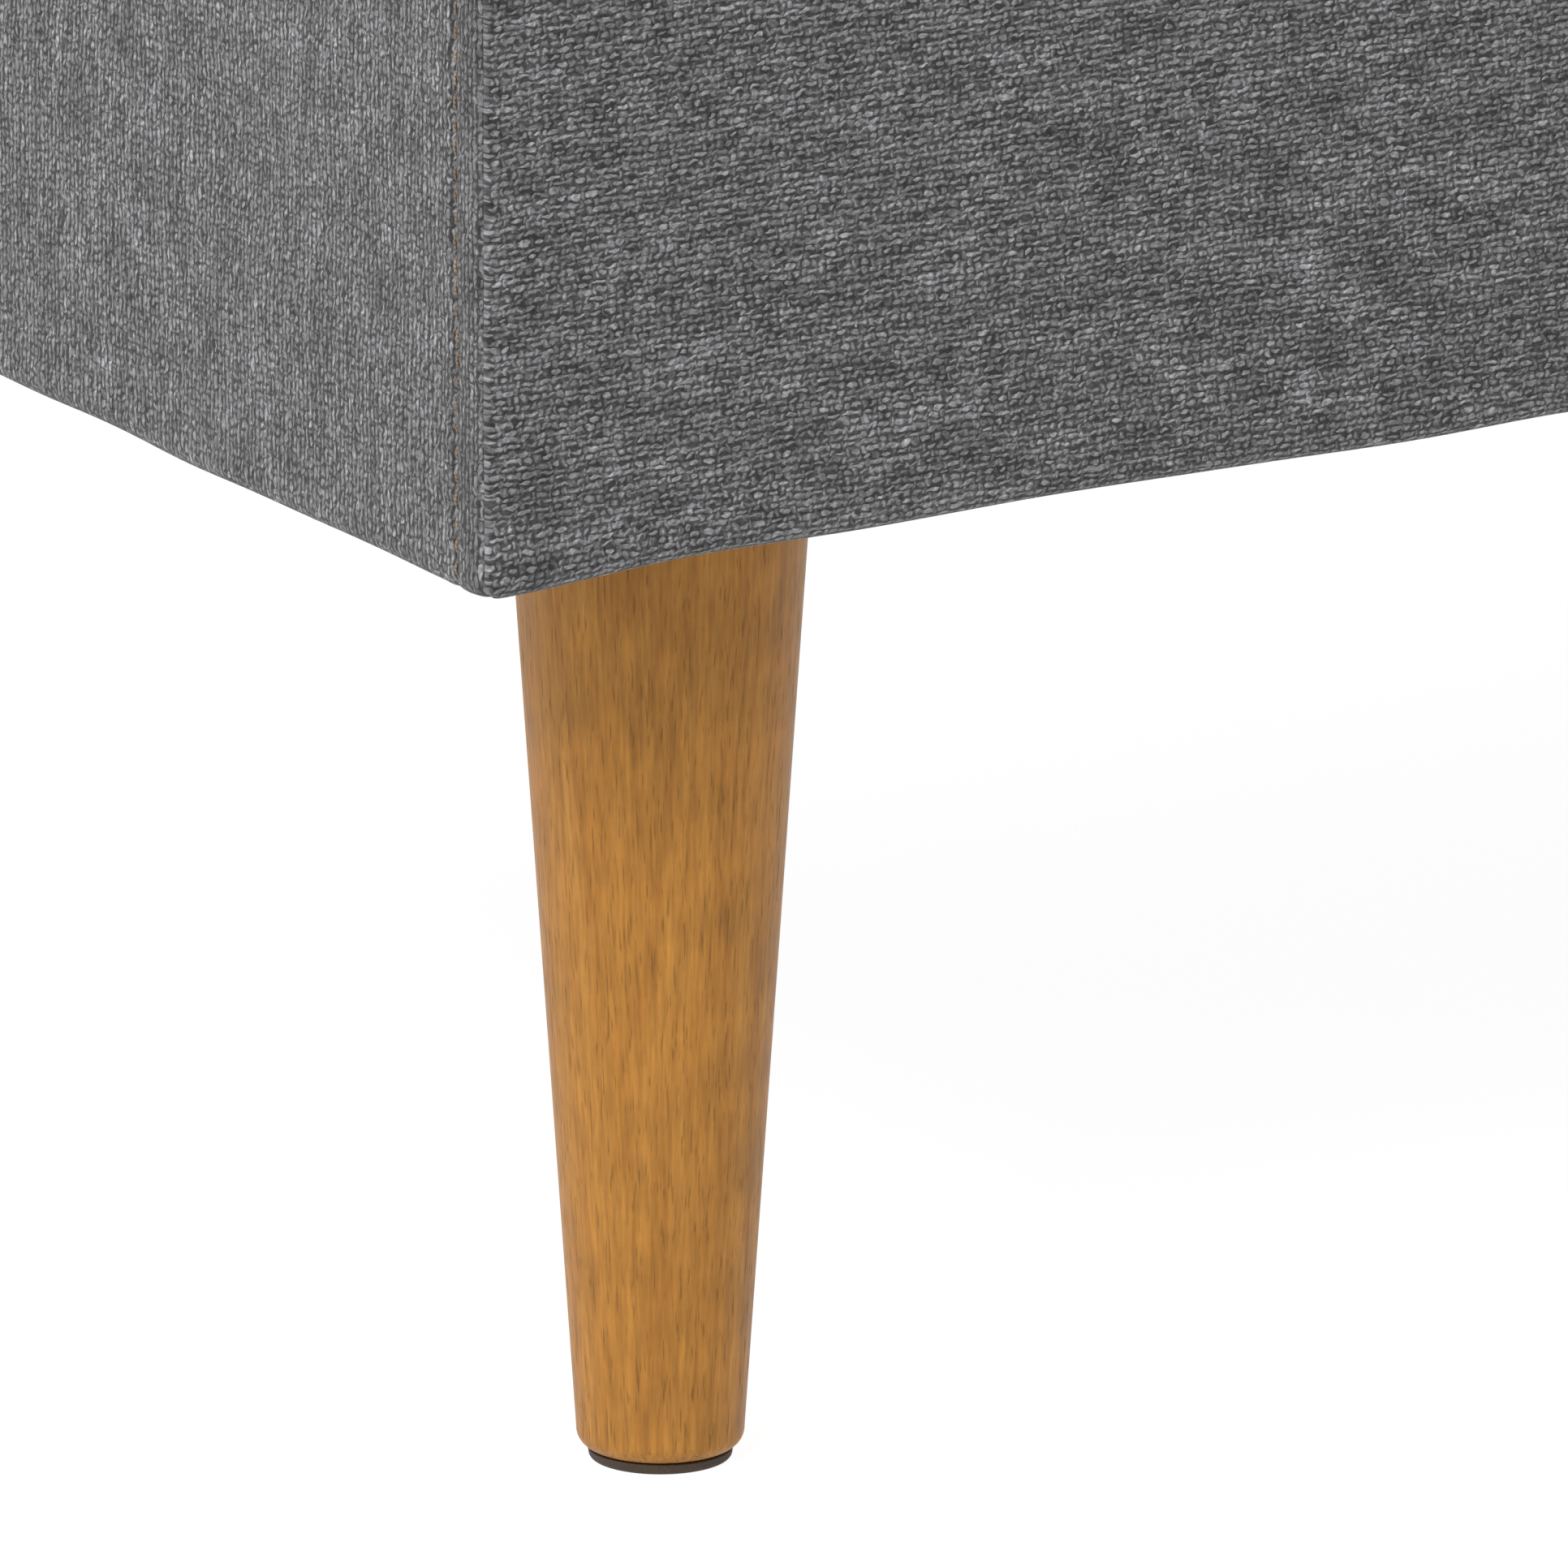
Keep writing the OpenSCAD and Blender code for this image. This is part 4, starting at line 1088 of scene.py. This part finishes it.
def legs_and_pads():
    for turn, (name, low, high) in zip(GRAIN_TURNS, leg_places()):
        centre = ((low.x + high.x) / 2, (low.y + high.y) / 2)
        leg = rounded_side((high.x - low.x) / 2, high.z, FOOT_R, low.z, LEG_EDGE_TOP, LEG_EDGE_LOW)
        turned(f"turned_leg_{name}", leg, centre, "leg_wood", [f"leg_{name}"], 128, LEG_UNEVEN, turn)
        low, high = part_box(f"foot_pad_{name}")
        radius = (high.x - low.x) / 2 - GLIDE_IN
        pad = rounded_side(radius, high.z, radius - GLIDE_TAPER, low.z, GLIDE_EDGE_TOP,
                           GLIDE_EDGE_LOW, steps=3)
        turned(f"glide_{name}", pad, centre, "rubber", [f"foot_pad_{name}"], 64)


def bumpers():
    """Four domed bumpers on the rim."""
    low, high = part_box("rim_bumpers")
    height = high.z - low.z
    outline = [(BUMPER_R * math.sin(a), low.z + height * (0.35 + 0.65 * math.cos(a)))
               for a in np.linspace(0.1, math.pi / 2, 9)]
    outline += [(BUMPER_R, low.z + height * 0.1), (BUMPER_R * 0.98, low.z)]
    for side, x in (("left", low.x + BUMPER_R), ("right", high.x - BUMPER_R)):
        for face, y in (("front", low.y + BUMPER_R), ("rear", high.y - BUMPER_R)):
            turned(f"bumper_{face}_{side}", outline, (x, y), "rubber", ["rim_bumpers"], 32)


# ---- Stage ----
AZIMUTH, ELEVATION = math.radians(-31.6), math.radians(15.7)
AIM_RIGHT, AIM_UP = 50.6 * MM, -32.2 * MM  # from the near lower corner to the picture's middle
CAMERA_DISTANCE = 8
LENS, SENSOR = 1070, 36
LIGHTS = {  # name: (place, size, watts)
    "key": ((-2.5, -1.55, 2.4), 1.1, 90),
    "side": ((-2.4, 1.1, 0.5), 1.2, 13),
    "fill": ((1.8, -3.0, 1.9), 2.2, 12),
}
LIGHTS_AIM = Vector((0, 0, 0.25))
FLOOR_HALF = 30


def towards(direction):
    return direction.to_track_quat("-Z", "Y").to_euler()


def stage():
    right = Vector((math.cos(AZIMUTH), math.sin(AZIMUTH), 0))
    back = Vector((right.y, -right.x, math.tan(ELEVATION))).normalized()
    corner = Vector((-BOX_HALF, FRONT_Y, BOX_Z0))
    aim = corner + right * AIM_RIGHT + back.cross(right) * AIM_UP
    camera = add_object("camera", bpy.data.cameras.new("camera"))
    camera.location = aim + back * CAMERA_DISTANCE
    camera.rotation_euler = towards(-back)
    camera.data.lens, camera.data.sensor_width = LENS, SENSOR
    camera.data.clip_start, camera.data.clip_end = 0.05, 100
    scene.camera = camera

    a = FLOOR_HALF
    mesh = bpy.data.meshes.new("floor")
    mesh.from_pydata([(-a, -a, 0), (a, -a, 0), (a, a, 0), (-a, a, 0)], [], [(0, 1, 2, 3)])
    paint = Graph("floor", Base_Color=(0.2, 0.2, 0.2, 1), Roughness=0.9, Specular_IOR_Level=0.1,
                  Emission_Color=(1, 1, 1, 1), Emission_Strength=0.93)
    mesh.materials.append(paint.material)
    add_object("floor", mesh)

    world = bpy.data.worlds.new("studio")
    world.use_nodes = True
    background = world.node_tree.nodes["Background"]
    background.inputs["Color"].default_value = (1, 1, 1, 1)
    background.inputs["Strength"].default_value = 0.6
    scene.world = world
    for name, (place, size, watts) in LIGHTS.items():
        lamp = bpy.data.lights.new(name, "AREA")
        lamp.size, lamp.energy = size, watts
        light = add_object(name, lamp)
        light.location = place
        light.rotation_euler = towards(LIGHTS_AIM - light.location)
    scene.view_settings.view_transform = "Standard"


finish_cad_nodes()
stage()
body_wadding()
lid_covers()
body_covers()
linings()
legs_and_pads()
bumpers()
